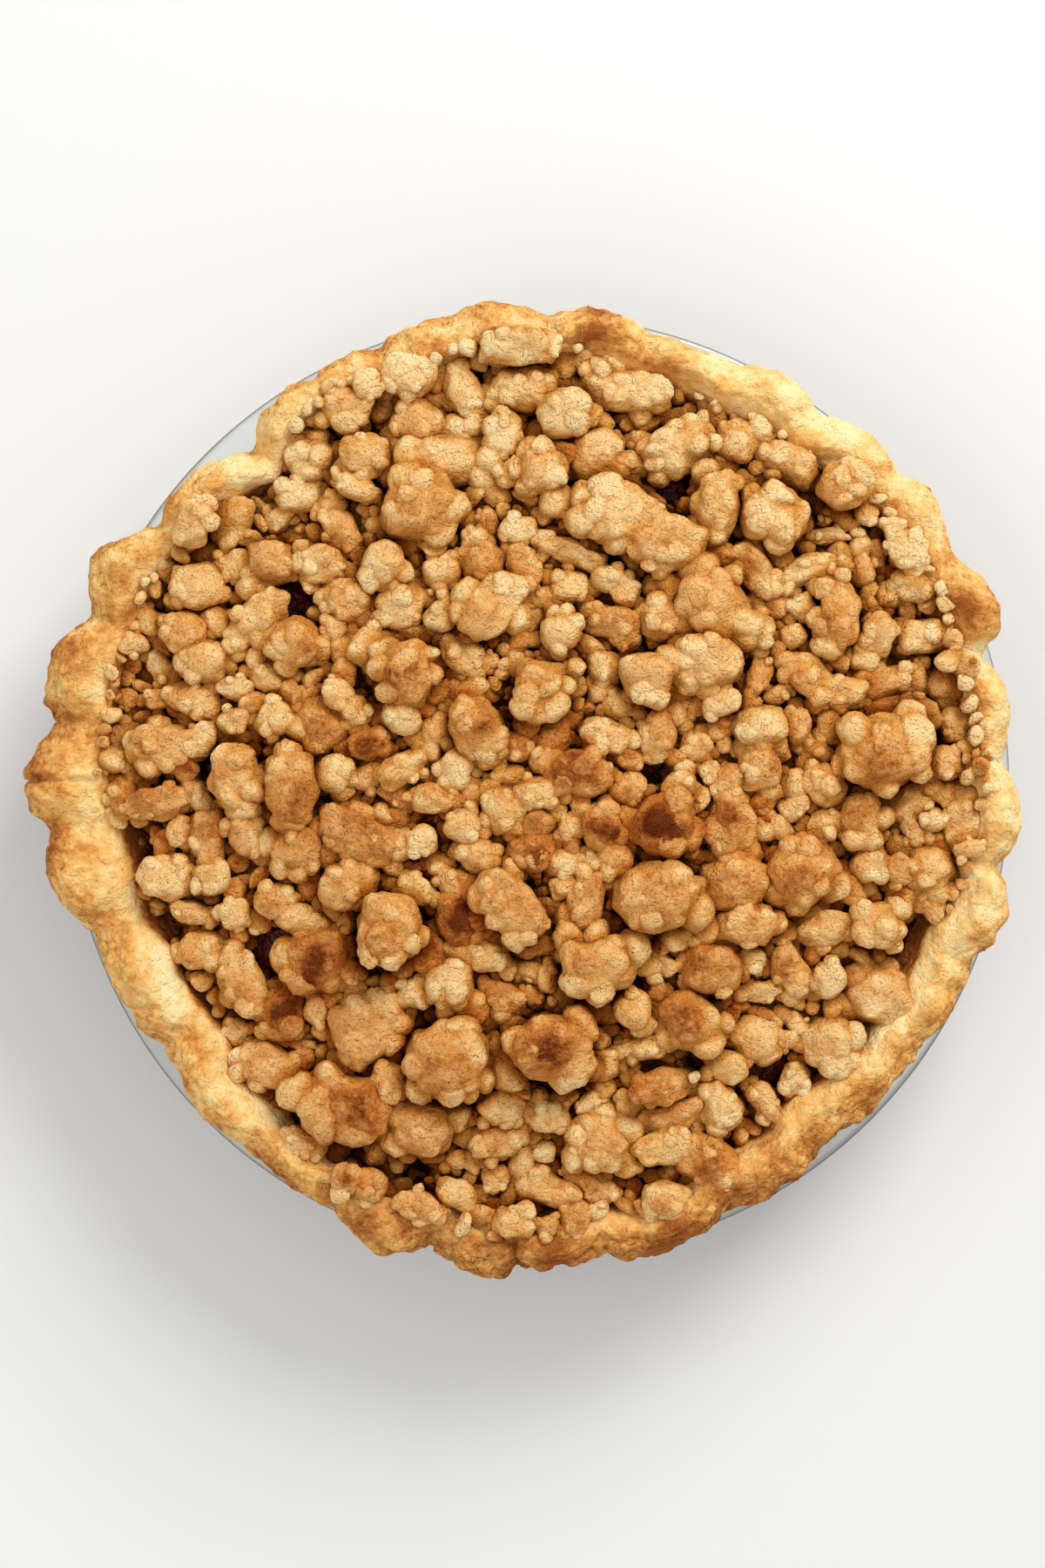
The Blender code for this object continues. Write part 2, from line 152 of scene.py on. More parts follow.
# Where the crumble ends, as (angle, reach).
CRUMBLE_EDGE = (
    (0, 113.5), (20, 114), (40, 113), (52, 108), (75, 107), (92, 115), (108, 112),
    (120, 113), (132, 103), (143, 111), (160, 112), (178, 112), (189, 106), (204, 102),
    (216, 100.5), (228, 105), (243, 111), (254, 114), (270, 114), (284, 111), (298, 105),
    (309, 101.5), (320, 103), (328, 105), (336, 104), (348, 112),
)

# How brown the crust is baked, as (angle, share): palest on the right and at the top,
# brownest on the left and along the bottom. Along the bottom, where the rim faces away
# from the window, part of that brown is painted shade.
CRUST_BAKE_AND_PAINTED_SHADE = (
    (0, 0.12), (17, 0.18), (22, 0.55), (27, 0.28), (60, 0.08), (78, 0.32), (82.5, 0.66),
    (87, 0.4), (100, 0.42), (118, 0.38), (132, 0.22), (150, 0.47), (168, 0.58), (185, 0.56),
    (205, 0.38), (222, 0.42), (240, 0.52), (255, 0.7), (275, 0.74), (292, 0.82), (310, 0.68),
    (330, 0.5), (348, 0.3),
)

# How much browner its inner slope is, as (angle, share). On the right and at the top,
# where the slope faces away from the window, that brown is partly painted shade. At the
# lower left and the lower right the slope stays as pale as the dough.
SLOPE_BAKE_AND_PAINTED_SHADE = (
    (0, 0.52), (20, 0.54), (40, 0.48), (60, 0.44), (100, 0.38), (140, 0.16), (185, 0.08),
    (235, 0.07), (260, 0.12), (296, -0.05), (325, -0.06), (345, 0.16),
)

# Cracks and pinches across the rim: angle, half width in degrees and depth in mm. They
# draw the edge in by a share of their depth.
CREASE_DRAW = 0.7
CREASES = (
    (179.3, 0.55, 1.9), (214.5, 1.4, 1.5), (333.5, 1.6, 1.3), (308, 1.2, 1), (85.5, 0.8, 1.6),
    (129.5, 1.6, 2), (61.5, 1, 1), (196.5, 1.3, 1), (144.5, 1.2, 1.2), (243.5, 0.9, 1.1),
    (257, 0.8, 1.2), (267.3, 0.7, 1.4), (278, 0.8, 1), (18, 0.9, 1.4), (350, 1, 1.1),
    (110, 0.8, 1), (40.8, 1.1, 0.9), (172, 0.8, 0.8),
)

# The relief of the pastry in mm.
PASTRY_LABELS = (
    "Swell Size", "Swell Depth", "Lump Size", "Lump Depth", "Layer Size", "Layer Depth",
    "Blister Size", "Blister Depth",
)
PASTRY_RELIEF = (15, 5, 6, 3, 2.6, 1.1, 5, 0.6)

# The relief of the filling and of the core in mm.
RUBBLE_LABELS = ("Lump Size", "Lump Depth", "Grit Size", "Grit Depth")
FILLING_RELIEF = (14, 1.4, 6, 0.5)
CORE_RELIEF = (5, 2.2, 2.2, 0.6)

# Filling
FILLING_EDGE_HEIGHT = 36.5 * MM
FILLING_RISE = 11.5 * MM
FILLING_GAP = 0.2 * MM
FILLING_COLUMNS = 360
FILLING_ROWS = 60

# Crumble: its bed, and the core that lies under the clumps
BED_EDGE_HEIGHT = 44.5 * MM
BED_RISE = 12.5 * MM
CORE_BELOW_BED = 4.2 * MM
CORE_IN_FILLING = 1.5 * MM
CORE_TAPER = 0.88
CORE_TOAST = 0.3
OPEN_DEPTH = 10.3 * MM
CORE_COLUMNS = 620
CORE_ROWS = 124

# The heat catches what stands high: the core counts as this far under a clump's middle,
# as a share of half a clump, and an open place as this much further.
CORE_RISE = -0.95
OPEN_FALL = 0.6

# How far the middle of a clump stands over what it lies on: a part that is the same for
# all, a share of its width, and by what share of its width that differs.
STAND = 1.2 * MM
STAND_OF_WIDTH = 0.26
SWING_OF_WIDTH = 0.11

# The clumps that stand out: east, north, length, width, turn and how toasted.
LANDMARKS = (
    (31, -9, 16, 14, 30, 1.1), (11, 3, 17, 12, -10, 1.0), (-19, -34, 15, 12, -20, 1.05),
    (-38, -36, 18, 16, 60, 0.55), (-7, -30, 21, 13, -50, 0.55), (29, -28, 20, 17, 0, 0.5),
    (12, -28, 15, 11, 80, 0.6), (49, -10, 17, 15, 90, 0.65), (-63, 0, 18, 14, 85, 0.65),
    (-61, -15, 14, 12, 0, 0.65), (-44, -12, 22, 12, -15, 0.65), (-33, 28, 17, 14, 80, 0.75),
    (-16, 15, 18, 12, -50, 0.6), (0, 24, 16, 13, 80, 0.55), (-30, 71, 18, 18, 0, 0.65),
    (-23, 83, 27, 15, 0, 0.15), (-18, 99, 17, 10, -55, 0.25), (-4, 101, 18, 13, 0, 0.35),
    (22, 101, 23, 12, -10, 0.3), (36, 86, 21, 13, 20, 0.2), (45, 70, 19, 12, 85, 0.3),
    (60, 68, 16, 15, 0, 0.35), (32, 62, 22, 14, -10, 0.6), (44, 46, 21, 17, -40, 0.5),
    (43, 32, 17, 14, 0, 0.5), (18, 42, 17, 9, -10, 0.6), (-72, 42, 20, 12, 40, 0.45),
    (-61, 36, 13, 12, 0, 0.65), (-55, 16, 15, 14, 30, 0.55), (-43, 11, 12, 9, 0, 0.75),
    (-95, 10, 20, 11, 0, 0.55), (-95, -4, 20, 9, 5, 0.45), (87, 9, 22, 18, 15, 0.55),
    (67, 28, 19, 10, -40, 0.55), (75, 44, 20, 11, 80, 0.65), (67, -22, 18, 15, 40, 0.5),
    (49, -24, 18, 13, 5, 0.45), (15, -45, 20, 15, 10, 0.5), (3, -65, 20, 17, 0, 0.75),
    (-23, -69, 20, 19, 0, 0.5), (-50, -81, 25, 17, -10, 0.65), (-42, -61, 22, 18, 0, 0.45),
    (-65, -58, 15, 11, 75, 0.85), (-56, -44, 18, 15, 45, 0.8), (-75, -50, 20, 10, -60, 0.55),
    (32, -76, 20, 9, 12, 0.4), (34, -84, 19, 9, 12, 0.4), (32, -91, 16, 8, 10, 0.35),
    (39, -60, 20, 14, -50, 0.55), (86, -53, 18, 14, 0, 0.25), (44, -96, 20, 12, -30, 0.6),
    (19, 69, 20, 16, 0, 0.2), (14, -90, 17, 14, -40, 0.45), (74, -65, 15, 14, 0, 0.3),
    (-77, 2, 19, 13, 100, 0.4), (-84, -12, 16, 9, 90, 0.5), (-69, -71, 17, 11, -20, 0.45),
    (-48, -25, 15, 12, 20, 0.55), (-13, 45, 17, 14, 45, 0.3), (-29, -86, 17, 15, 0, 0.45),
    (44, -46, 15, 12, 0, 0.65), (64, -47, 15, 9, -60, 0.5), (52, -35, 16, 11, 0, 0.45),
    (72, -35, 15, 10, 0, 0.4), (89, 27, 20, 8, 15, 0.45), (68, 54, 19, 9, 15, 0.2),
    (93, 61, 16, 9, -50, 0.25), (77, 76, 13, 13, 0, 0.6), (63, 82, 16, 11, -15, 0.3),
    (55, 54, 17, 9, -60, 0.5), (8, 59, 18, 7, -15, 0.35), (14, 83, 15, 13, 90, 0.3),
    (-4, 53, 16, 9, 100, 0.55), (-33, 104, 15, 10, 0, 0.3), (-50, 65, 15, 9, -50, 0.55),
    (-46, 76, 14, 8, -30, 0.3), (-87, 51, 15, 12, 0, 0.5), (-88, 22, 14, 9, -20, 0.5),
    (3, -102, 16, 9, -20, 0.45), (-30, -106, 15, 7, -15, 0.6), (107, -9, 14, 10, 90, 0.25),
    (99, -21, 14, 12, 0, 0.35), (98, 38, 15, 10, 0, 0.25), (-6, 111, 18, 10, 0, 0.3),
)

# Smaller clumps that are as easy to find again, in the same order of values.
NUGGETS = (
    (-19, 33, 13, 8, -45, 0.5), (-9, 43, 8, 8, 0, 0.8), (27, 28, 14, 13, 0, 0.45),
    (36, 34, 13, 9, 80, 0.55), (17, 13, 13, 10, -25, 0.4), (30, 13, 14, 9, 80, 0.35),
    (3, 12, 12, 9, 45, 0.5), (-10, 6, 10, 5, 90, 0.15), (-9, -6, 13, 10, -60, 0.3),
    (-27, -3, 12, 8, -10, 0.45), (-34, 4, 14, 8, 30, 0.25), (-2, -16, 12, 11, 0, 0.75),
    (6, -19, 10, 8, 0, 0.15), (-29, -14, 8, 8, 0, 0.2), (-19, -10, 10, 9, 0, 0.3),
    (-26, 14, 9, 8, 0, 0.3), (-74, -12, 14, 9, -60, 0.4), (-67, 17, 10, 10, 0, 0.3),
    (-90, 39, 11, 11, 0, 0.5), (-85, 32, 12, 11, 0, 0.4), (-77, 17, 9, 8, 0, 0.3),
    (-96, 30, 12, 6, -60, 0.25), (-77, 25, 10, 7, 0, 0.1), (-94, -23, 14, 11, 0, 0.25),
    (-83, -23, 10, 9, 0, 0.3), (-88, -32, 11, 7, -15, 0.3), (-77, -32, 9, 8, 0, 0.35),
    (-60, -34, 13, 8, -20, 0.35), (-105, 14, 12, 7, 25, 0.2), (-108, 7, 9, 7, 0, 0.2),
    (-85, -42, 14, 10, 10, 0.4), (-59, -90, 12, 8, -20, 0.5), (-49, -99, 9, 8, 90, 0.7),
    (-43, -101, 9, 8, 0, 0.5), (-37, -75, 11, 11, 0, 0.45), (15, -70, 11, 9, 0, 0.4),
    (-9, -54, 14, 10, -30, 0.55), (24, -56, 10, 10, 0, 0.4), (27, -66, 12, 7, 0, 0.2),
    (22, -87, 10, 9, 0, 0.15), (14, -101, 14, 8, -30, 0.6), (32, -105, 12, 10, 0, 0.4),
    (-8, -70, 14, 12, 90, 0.35), (-31, -52, 12, 8, 0, 0.25), (-3, -47, 13, 5, -10, 0.3),
    (-1, -40, 12, 6, 10, 0.3), (-4, -95, 10, 7, 80, 0.3), (-21, -103, 11, 8, -30, 0.2),
    (3, -84, 10, 8, 0, 0.3), (55, -52, 11, 6, 0, 0.25), (55, -64, 14, 12, 0, 0.35),
    (48, -71, 10, 9, 0, 0.3), (57, -80, 13, 7, -50, 0.3), (65, -74, 11, 7, 80, 0.1),
    (94, -4, 12, 10, 0, 0.25), (81, -8, 14, 11, 85, 0.5), (73, -10, 12, 9, 0, 0.2),
    (79, -26, 10, 8, -40, 0.3), (86, -35, 13, 12, 0, 0.4), (56, 29, 13, 6, 80, 0.35),
    (88, 20, 13, 6, 20, 0.4), (86, 38, 11, 9, 90, 0.25), (56, 15, 14, 11, 0, 0.2),
    (70, 10, 12, 6, -25, 0.6), (72, 0, 12, 10, -40, 0.45), (97, 19, 12, 8, -40, 0.3),
    (103, 26, 10, 8, 0, 0.3), (103, 6, 10, 9, 0, 0.25), (106, 16, 9, 9, 0, 0.25),
    (73, 63, 12, 5, 5, 0.25), (82, 55, 9, 7, 90, 0.55), (95, 51, 14, 9, 0, 0.3),
    (51, 88, 12, 12, 0, 0.4), (6, 95, 13, 13, 0, 0.2), (-31, 93, 13, 12, 0, 0.5),
    (-13, 67, 8, 6, 90, 0.85), (-5, 65, 10, 8, 0, 0.15), (1, 80, 13, 12, 0, 0.45),
    (5, 72, 10, 9, 0, 0.3), (8, 50, 10, 9, 0, 0.3), (-39, 56, 12, 11, 90, 0.3),
    (-35, 46, 14, 12, 90, 0.2), (-49, 96, 13, 12, 0, 0.6), (-57, 83, 13, 12, 0, 0.35),
    (-44, 84, 14, 11, 0, 0.45), (-61, 74, 12, 10, 0, 0.2), (-79, 67, 13, 12, 90, 0.3),
    (-87, 67, 13, 9, 80, 0.6), (-68, 57, 12, 11, 0, 0.6), (-77, 56, 12, 8, 0, 0.25),
    (-55, 56, 13, 10, 0, 0.2), (-49, 47, 12, 12, 0, 0.6),
)

# Sizes that fill the heap between those: shortest, longest, places tried, and how close
# they may lie as a share of their sizes. Their width is a share of their length, and so
# much of their size stays clear of an open place.
FILL_SIZES = (
    (10, 14, 1500, 0.76),
    (7, 10, 6000, 0.64),
    (4.6, 7, 12000, 0.62),
    (2.6, 4.6, 16000, 0.68),
)
FILL_SEED = 31
WIDTH_OF_LENGTH = (0.62, 1)
CLEAR_OF_OPENING = 0.6

# The crumble's end wanders by a share of this, and is toasted a little more.
EDGE_SCATTER = 2 * MM
SCATTER_SHARE = (-0.2, 1.3)
EDGE_TOAST = 1.05

# How toasted the clumps between are: the mean, its spread, and how much less it is at the
# far edge, where the paler crumble is painted light from the window on that side.
TOAST_MEAN = 0.39
TOAST_SPREAD = 0.18
FAR_PAINTED_LIGHT_DROP = 0.3
LEAST_TOAST = 0.1

# Every clump's toasting is laid between the palest and the brownest crumble, and paled by
# up to a share towards the far edge, as painted light from the window on that side.
PALEST = 0.18
TOAST_SPAN = 0.8
FAR_PAINTED_LIGHT_PALING = 0.5

# How much wider a clump is than its core's outline, how high it is as a share of its
# width, how far it leans in radians, and how far its relief is moved against the next's.
SPREAD = 1.1
FLATNESS = (0.74, 0.92)
LEAN = 0.16
RELIEF_SHIFT = 50 * MM

# The kinds of clump: shortest and longest, faces across a side, and the size and depth of
# its bends, of its lobes and of the creases in them.
CLUMP_KINDS = (
    ("crumble_boulders", 20, 99, 16, 13, 5, 6.5, 1.5, 4.5, 0.25),
    ("crumble_knobs", 17, 20, 14, 12, 5, 6, 1.3, 4.2, 0.25),
    ("crumble_clumps", 12, 17, 11, 10, 4, 5, 1.1, 4, 0.25),
    ("crumble_nuggets", 7, 12, 6, 7, 3, 4, 0.9, 3.4, 0.2),
    ("crumble_bits", 4.6, 7, 4, 4, 2, 3.4, 0.5, 3, 0.2),
    ("crumble_crumbs", 0, 4.6, 3, 3, 1.3, 3, 0.3, 3, 0.1),
)
CLUMP_LABELS = (
    "Warp Size", "Warp Depth", "Lobe Size", "Lobe Depth", "Crease Size", "Crease Depth",
)
BLOCKINESS = 0.15

# Smaller lumps baked onto every clump over a length: how many for each centimetre of its
# size, their length as a share of the clump's width, and how far they sink into it.
LOBED_FROM = 7.5 * MM
LOBES_PER_CM = 4.2
LOBE_SHARE = (0.36, 0.68)
LOBE_SINK = 0.36

# Between which shares of the clump's area they sit, their width and height as shares of
# their length, how far their toast differs from the clump's, how much of their length
# counts in how high they stand on it, and their kinds, in the same order of values.
LOBE_PLACES = (0.05, 0.95)
LOBE_WIDTH = (0.72, 1)
LOBE_HEIGHT = (0.7, 0.95)
LOBE_TOAST_SPREAD = 0.07
LOBE_STAND = 0.25
LOBE_KINDS = (
    ("crumble_lobes", 6.4, 99, 5, 5, 2.2, 3.6, 0.6, 3, 0.3),
    ("crumble_beads", 0, 6.4, 3, 4, 1.5, 3, 0.3, 3, 0.1),
)

# A point of the heap is shaded by how far it lies under the heap's height round it: the
# cells in which that height is read, how far round, and the depth that is darkest.
HEIGHT_CELL = 0.6 * MM
HEIGHT_REACH = 2.4 * MM
SHADE_DEPTH = 10.2 * MM

# A narrow crease is shaded too, by how far a point lies under the cells beside it: no more
# than the first depth counts, and the second would be darkest.
DEEPEST_CREASE = 1.6 * MM
CREASE_SHADE_DEPTH = 6.75 * MM

# Places where nothing lies over the filling, as (east, north, radius).
OPEN_PLACES = (
    (-104, -16, 5.5), (-95, -36, 3.5), (-67, -42, 6), (-62, 47, 5), (-82, 5, 4), (33, 77, 5),
    (59, -72, 5), (81, -62, 4), (97, -40, 6), (41, -70, 3), (-31, -98, 3), (29, 4, 3),
)

# The camera looks straight down. The photo's frame is this long over the dish's rim, and
# its middle lies this far from the dish's axis.
FRAME_LENGTH = 402.2 * MM
FRAME_MIDDLE = (-4.1 * MM, 0.7 * MM)
CAMERA_ABOVE_RIM = 0.95
SENSOR = 36
FLOOR_SIZE = 8

# The lights: name, watts, size, place and colour.
LIGHTS = (
    ("window", 20.5, 0.8, (0.7, 1.15, 1.05), "FFFEFC"),
    ("fill", 3.6, 1.2, (-0.85, -0.4, 0.95), "FCFDFF"),
)
SKY_STRENGTH = 0.62

# Kinds of node
MATH = "ShaderNodeMath"
VECTOR_MATH = "ShaderNodeVectorMath"
MIX = "ShaderNodeMix"


def linear(code):
    """A linear colour from an sRGB hex code."""
    channels = [int(code[i:i + 2], 16) / 255 for i in (0, 2, 4)]
    return (*(c / 12.92 if c <= 0.04045 else ((c + 0.055) / 1.055) ** 2.4 for c in channels), 1)


def feed(tree, sockets, inputs):
    """Sets inputs, in order or by name, each to a value or to the socket that feeds it."""
    for key, value in inputs.items() if isinstance(inputs, dict) else enumerate(inputs):
        if isinstance(value, bpy.types.NodeSocket):
            tree.links.new(value, sockets[key])
        else:
            sockets[key].default_value = value


def add(tree, kind, inputs=(), output=0, **settings):
    """Adds a node with its settings and inputs, and gives one of its outputs."""
    made = tree.nodes.new(kind)
    for name, value in settings.items():
        setattr(made, name, value)
    feed(tree, made.inputs, inputs)
    return made.outputs[output] if made.outputs else made


# Forms that several pieces share

def at_angle(degrees, radius, height=0.0):
    turn = math.radians(degrees)
    return Vector((radius * math.cos(turn), radius * math.sin(turn), height))


def between(angles, degrees):
    """For each angle, the knot after it and how far it has come from the knot before."""
    degrees = (np.asarray(degrees, float) - angles[0]) % 360 + angles[0]
    after = np.clip(np.searchsorted(angles, degrees, side="right"), 1, len(angles) - 1)
    return after, (degrees - angles[after - 1]) / (angles[after] - angles[after - 1])


def read_table(rows, degrees):
    """Values at angles, eased between the rows of (angle, value) round the circle."""
    angles, values = np.array([*rows, (rows[0][0] + 360, rows[0][1])], float).T
    after, share = between(angles, degrees)
    eased = (1 - np.cos(np.pi * share)) / 2
    return values[after - 1] + (values[after] - values[after - 1]) * eased


def read_crimps(degrees):
    """The crust's reach, and how full the crimp is: 1 at a tip and 0 in a dip. The tips
    are round and the dips narrow, as fingers pinch them."""
    knots = []
    following = [*CRIMPS[1:], (CRIMPS[0][0] + 360, *CRIMPS[0][1:])]
    for (tip, reach, dip_reach), (next_tip, _, _) in zip(CRIMPS, following):
        knots.append((tip, reach, 1))
        knots.append(((tip + next_tip) / 2, dip_reach, 0))
    angles, reaches, peaks = np.array([*knots, (knots[0][0] + 360, *knots[0][1:])]).T
    after, share = between(angles, degrees)
    rising = peaks[after] == 1
    full = np.where(rising, np.sin(np.pi / 2 * share), np.cos(np.pi / 2 * share))
    full = np.maximum(full, 0) ** TIP_ROUNDNESS
    tip = np.where(rising, reaches[after], reaches[after - 1])
    dip = np.where(rising, reaches[after - 1], reaches[after])
    return (dip + (tip - dip) * full) * MM, full


def crumble_reach(degrees):
    """How far out the crumble goes."""
    return read_table(CRUMBLE_EDGE, degrees) * MM


def bed_height(x, y):
    """The top of the crumble's bed."""
    share = np.hypot(x, y) / crumble_reach(np.degrees(np.arctan2(y, x)))
    return BED_EDGE_HEIGHT + BED_RISE * (1 - share ** 2)


def mound_height(x, y):
    """The top of the filling."""
    share = np.minimum(1, np.hypot(x, y) / (WALL_TOP_RADIUS - MM))
    return FILLING_EDGE_HEIGHT + FILLING_RISE * (1 - share ** 2)


def crust_top(degrees):
    """The crust's upper side at each angle, as corners from its edge over the crest and
    down to the top of its inner wall: (corner, column, radius and height)."""
    reach, full = read_crimps(degrees)
    lift = CRIMP_LIFT * read_table(CRIMPING, degrees) * (full - 0.5)
    crest = DISH_HEIGHT + CREST_HEIGHT + lift
    crest = crest + CREST_WANDER * np.sin(np.radians(CREST_WAVES * degrees + CREST_TURN))
    setback = CREST_SETBACK + CREST_WANDER * np.cos(np.radians((CREST_WAVES + 2) * degrees))
    for angle, half_width, depth in CREASES:
        away = np.abs((degrees - angle + 180) % 360 - 180) / half_width
        pinch = depth * MM * np.exp(-away ** 2)
        crest = crest - pinch
        reach = reach - CREASE_DRAW * pinch
    inside = np.maximum(0, WALL_TOP_RADIUS - crumble_reach(degrees))
    push = np.maximum(0, crumble_reach(degrees) - INNER_SLOPE_RADIUS)
    lip = np.minimum(INNER_LIP_RADIUS + LIP_PUSHED * push, reach - setback - LEAST_CREST_WIDTH)
    one = np.ones_like(reach)
    shelf = np.clip(inside / MM, 0, 1)
    slope = INNER_SLOPE_RADIUS - inside / 2 + SLOPE_PUSHED * push
    slope = np.minimum(slope, lip - LEAST_SLOPE_WIDTH)
    slope = slope + shelf * (WALL_TOP_RADIUS - inside + SHELF_OVERHANG - slope)
    wall_top = np.minimum(WALL_TOP_RADIUS - inside, slope - MM)
    # The shares and small steps round the rim off, as a thumb does.
    corners = (
        (reach + EDGE_BULGE, DISH_HEIGHT + 0.8 * EDGE_ROLL * one),
        (reach + 0.3 * MM, DISH_HEIGHT + 0.62 * (crest - DISH_HEIGHT)),
        (reach - 0.35 * setback, crest - 0.5 * MM),
        (reach - setback, crest + 0.6 * MM),
        (lip, crest - INNER_LIP_DROP - lift / 2),
        (slope, INNER_SLOPE_HEIGHT + SHELF_RISE * shelf + PUSH_RISE * push),
        (wall_top, WALL_TOP_HEIGHT * one),
    )
    return np.array([np.stack(corner, axis=-1) for corner in corners])


def ground_height(x, y):
    """What a clump lies on: the core, or the crust's slope where that is higher."""
    core = bed_height(x, y) - CORE_BELOW_BED
    corners = crust_top(np.degrees(np.arctan2([y], [x])))[2:, 0]
    radii, heights = ((corners[:-1] + corners[1:]) / 2).T
    slope = np.interp(np.hypot(x, y), radii[::-1], heights[::-1], left=0)
    return max(core, slope)


# Making meshes

def new_piece(name, mesh):
    piece = bpy.data.objects.new(name, mesh)
    bpy.context.scene.collection.objects.link(piece)
    return piece


def hand_in(piece, node):
    """Puts a piece under the model's root and hides the node of the model that it replaces."""
    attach(piece, "root")
    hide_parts(node)


def evaluated(piece):
    """The mesh that a piece's modifiers make."""
    return bpy.data.meshes.new_from_object(
        piece.evaluated_get(bpy.context.evaluated_depsgraph_get())
    )


def ring_mesh(name, rings):
    """A closed mesh through rings of points, an array of (ring, column, xyz). The first
    and the last ring are closed with a face."""
    rows, columns, _ = rings.shape
    index = np.arange(rows * columns).reshape(rows, columns)
    right = np.roll(index, -1, axis=1)
    quads = np.stack([index[:-1], right[:-1], right[1:], index[1:]], axis=-1).reshape(-1, 4)
    faces = [*quads.tolist(), index[0][::-1].tolist(), index[-1].tolist()]
    mesh = bpy.data.meshes.new(name)
    mesh.from_pydata(rings.reshape(-1, 3).tolist(), [], faces)
    mesh.shade_smooth()
    return mesh


def give_attribute(mesh, name, values):
    """Stores a number or a vector at each point of a mesh."""
    values = np.asarray(values, np.float32)
    wide = values.shape[-1] == 3 and values.ndim > 1
    made = mesh.attributes.new(name, "FLOAT_VECTOR" if wide else "FLOAT", "POINT")
    made.data.foreach_set("vector" if wide else "value", values.ravel())


def run_nodes(name, mesh, tree, material, labels, sizes, **others):
    """A new piece: a mesh that a Geometry Nodes tree works on with sizes in mm, a material
    and other values. What it makes is kept as a plain mesh."""
    piece = new_piece(name, mesh)
    modifier = piece.modifiers.new(tree.name, "NODES")
    modifier.node_group = tree
    sockets = {item.name: item.identifier for item in tree.interface.items_tree}
    modifier[sockets["Material"]] = material
    for label, size in zip(labels, sizes):
        modifier[sockets[label]] = size * MM
    for label, value in others.items():
        modifier[sockets[label]] = value
    made = evaluated(piece)
    made.name = name
    piece.modifiers.remove(modifier)
    piece.data = made
    return piece


def new_tree(name, labels, **others):
    """A Geometry Nodes tree that takes and gives a geometry, with a number for each label,
    a material and other inputs."""
    tree = bpy.data.node_groups.new(name, "GeometryNodeTree")
    kinds = {"Geometry": "Geometry", "Material": "Material", **dict.fromkeys(labels, "Float")}
    for label, kind in (kinds | others).items():
        tree.interface.new_socket(label, in_out="INPUT", socket_type=f"NodeSocket{kind}")
    tree.interface.new_socket("Geometry", in_out="OUTPUT", socket_type="NodeSocketGeometry")
    return tree, tree.nodes.new("NodeGroupInput").outputs


def sum_of(tree, *values):
    total = values[0]
    for value in values[1:]:
        total = add(tree, MATH, (total, value), operation="ADD")
    return total


def product_of(tree, *values):
    total = values[0]
    for value in values[1:]:
        total = add(tree, MATH, (total, value), operation="MULTIPLY")
    return total


def push_out(tree, geometry, amount):
    """Moves a surface along its normals by an amount that may differ from place to place."""
    normal = add(tree, "GeometryNodeInputNormal")
    offset = add(tree, VECTOR_MATH, {0: normal, "Scale": amount}, operation="SCALE")
    return add(tree, "GeometryNodeSetPosition", {"Geometry": geometry, "Offset": offset})


def lobes(tree, vector, width):
    """Rounded lobes with narrow creases between them: 0 in a crease and 1 on a lobe. The
    vector counts in lobes, and the width of a crease is a share of a lobe."""
    wobble = add(tree, "ShaderNodeTexNoise", {
        "Vector": vector, "Scale": 1.3, "Detail": 1.0,
    }, "Color")
    bent = add(tree, VECTOR_MATH, (wobble, (0.45, 0.45, 0.45), vector), operation="MULTIPLY_ADD")
    edge = add(tree, "ShaderNodeTexVoronoi", {"Vector": bent, "Scale": 1.0},
               feature="DISTANCE_TO_EDGE")
    return add(tree, "ShaderNodeMapRange", {"Value": edge, "From Max": width},
               interpolation_type="SMOOTHERSTEP")


def creases(tree, vector, width):
    """Winding creases, as where dough folds or cracks: -1 in a crease and 0 beside it."""
    field = add(tree, "ShaderNodeTexNoise", {
        "Vector": vector, "Scale": 1.0, "Detail": 2.5, "Roughness": 0.55,
    })
    away = add(tree, MATH, (field, 0.5), operation="SUBTRACT")
    away = add(tree, MATH, [away], operation="ABSOLUTE")
    return add(tree, "ShaderNodeMapRange", {
        "Value": away, "From Max": width, "To Min": -1.0, "To Max": 0.0,
    }, interpolation_type="SMOOTHSTEP")


def pattern_place(tree, size, shift=None):
    """The position counted in steps of a size, moved by a shift where one is given."""
    place = add(tree, "GeometryNodeInputPosition")
    if shift:
        place = add(tree, VECTOR_MATH, (place, shift), operation="ADD")
    steps = add(tree, MATH, (1.0, size), operation="DIVIDE")
    return add(tree, VECTOR_MATH, {0: place, "Scale": steps}, operation="SCALE")


def finish_tree(tree, geometry, material):
    """Ends a tree: instances made real, smooth, with the material set."""
    real = add(tree, "GeometryNodeRealizeInstances", [geometry])
    smooth = add(tree, "GeometryNodeSetShadeSmooth", [real])
    done = add(tree, "GeometryNodeSetMaterial", {"Geometry": smooth, "Material": material})
    add(tree, "NodeGroupOutput", [done])


# Clumps

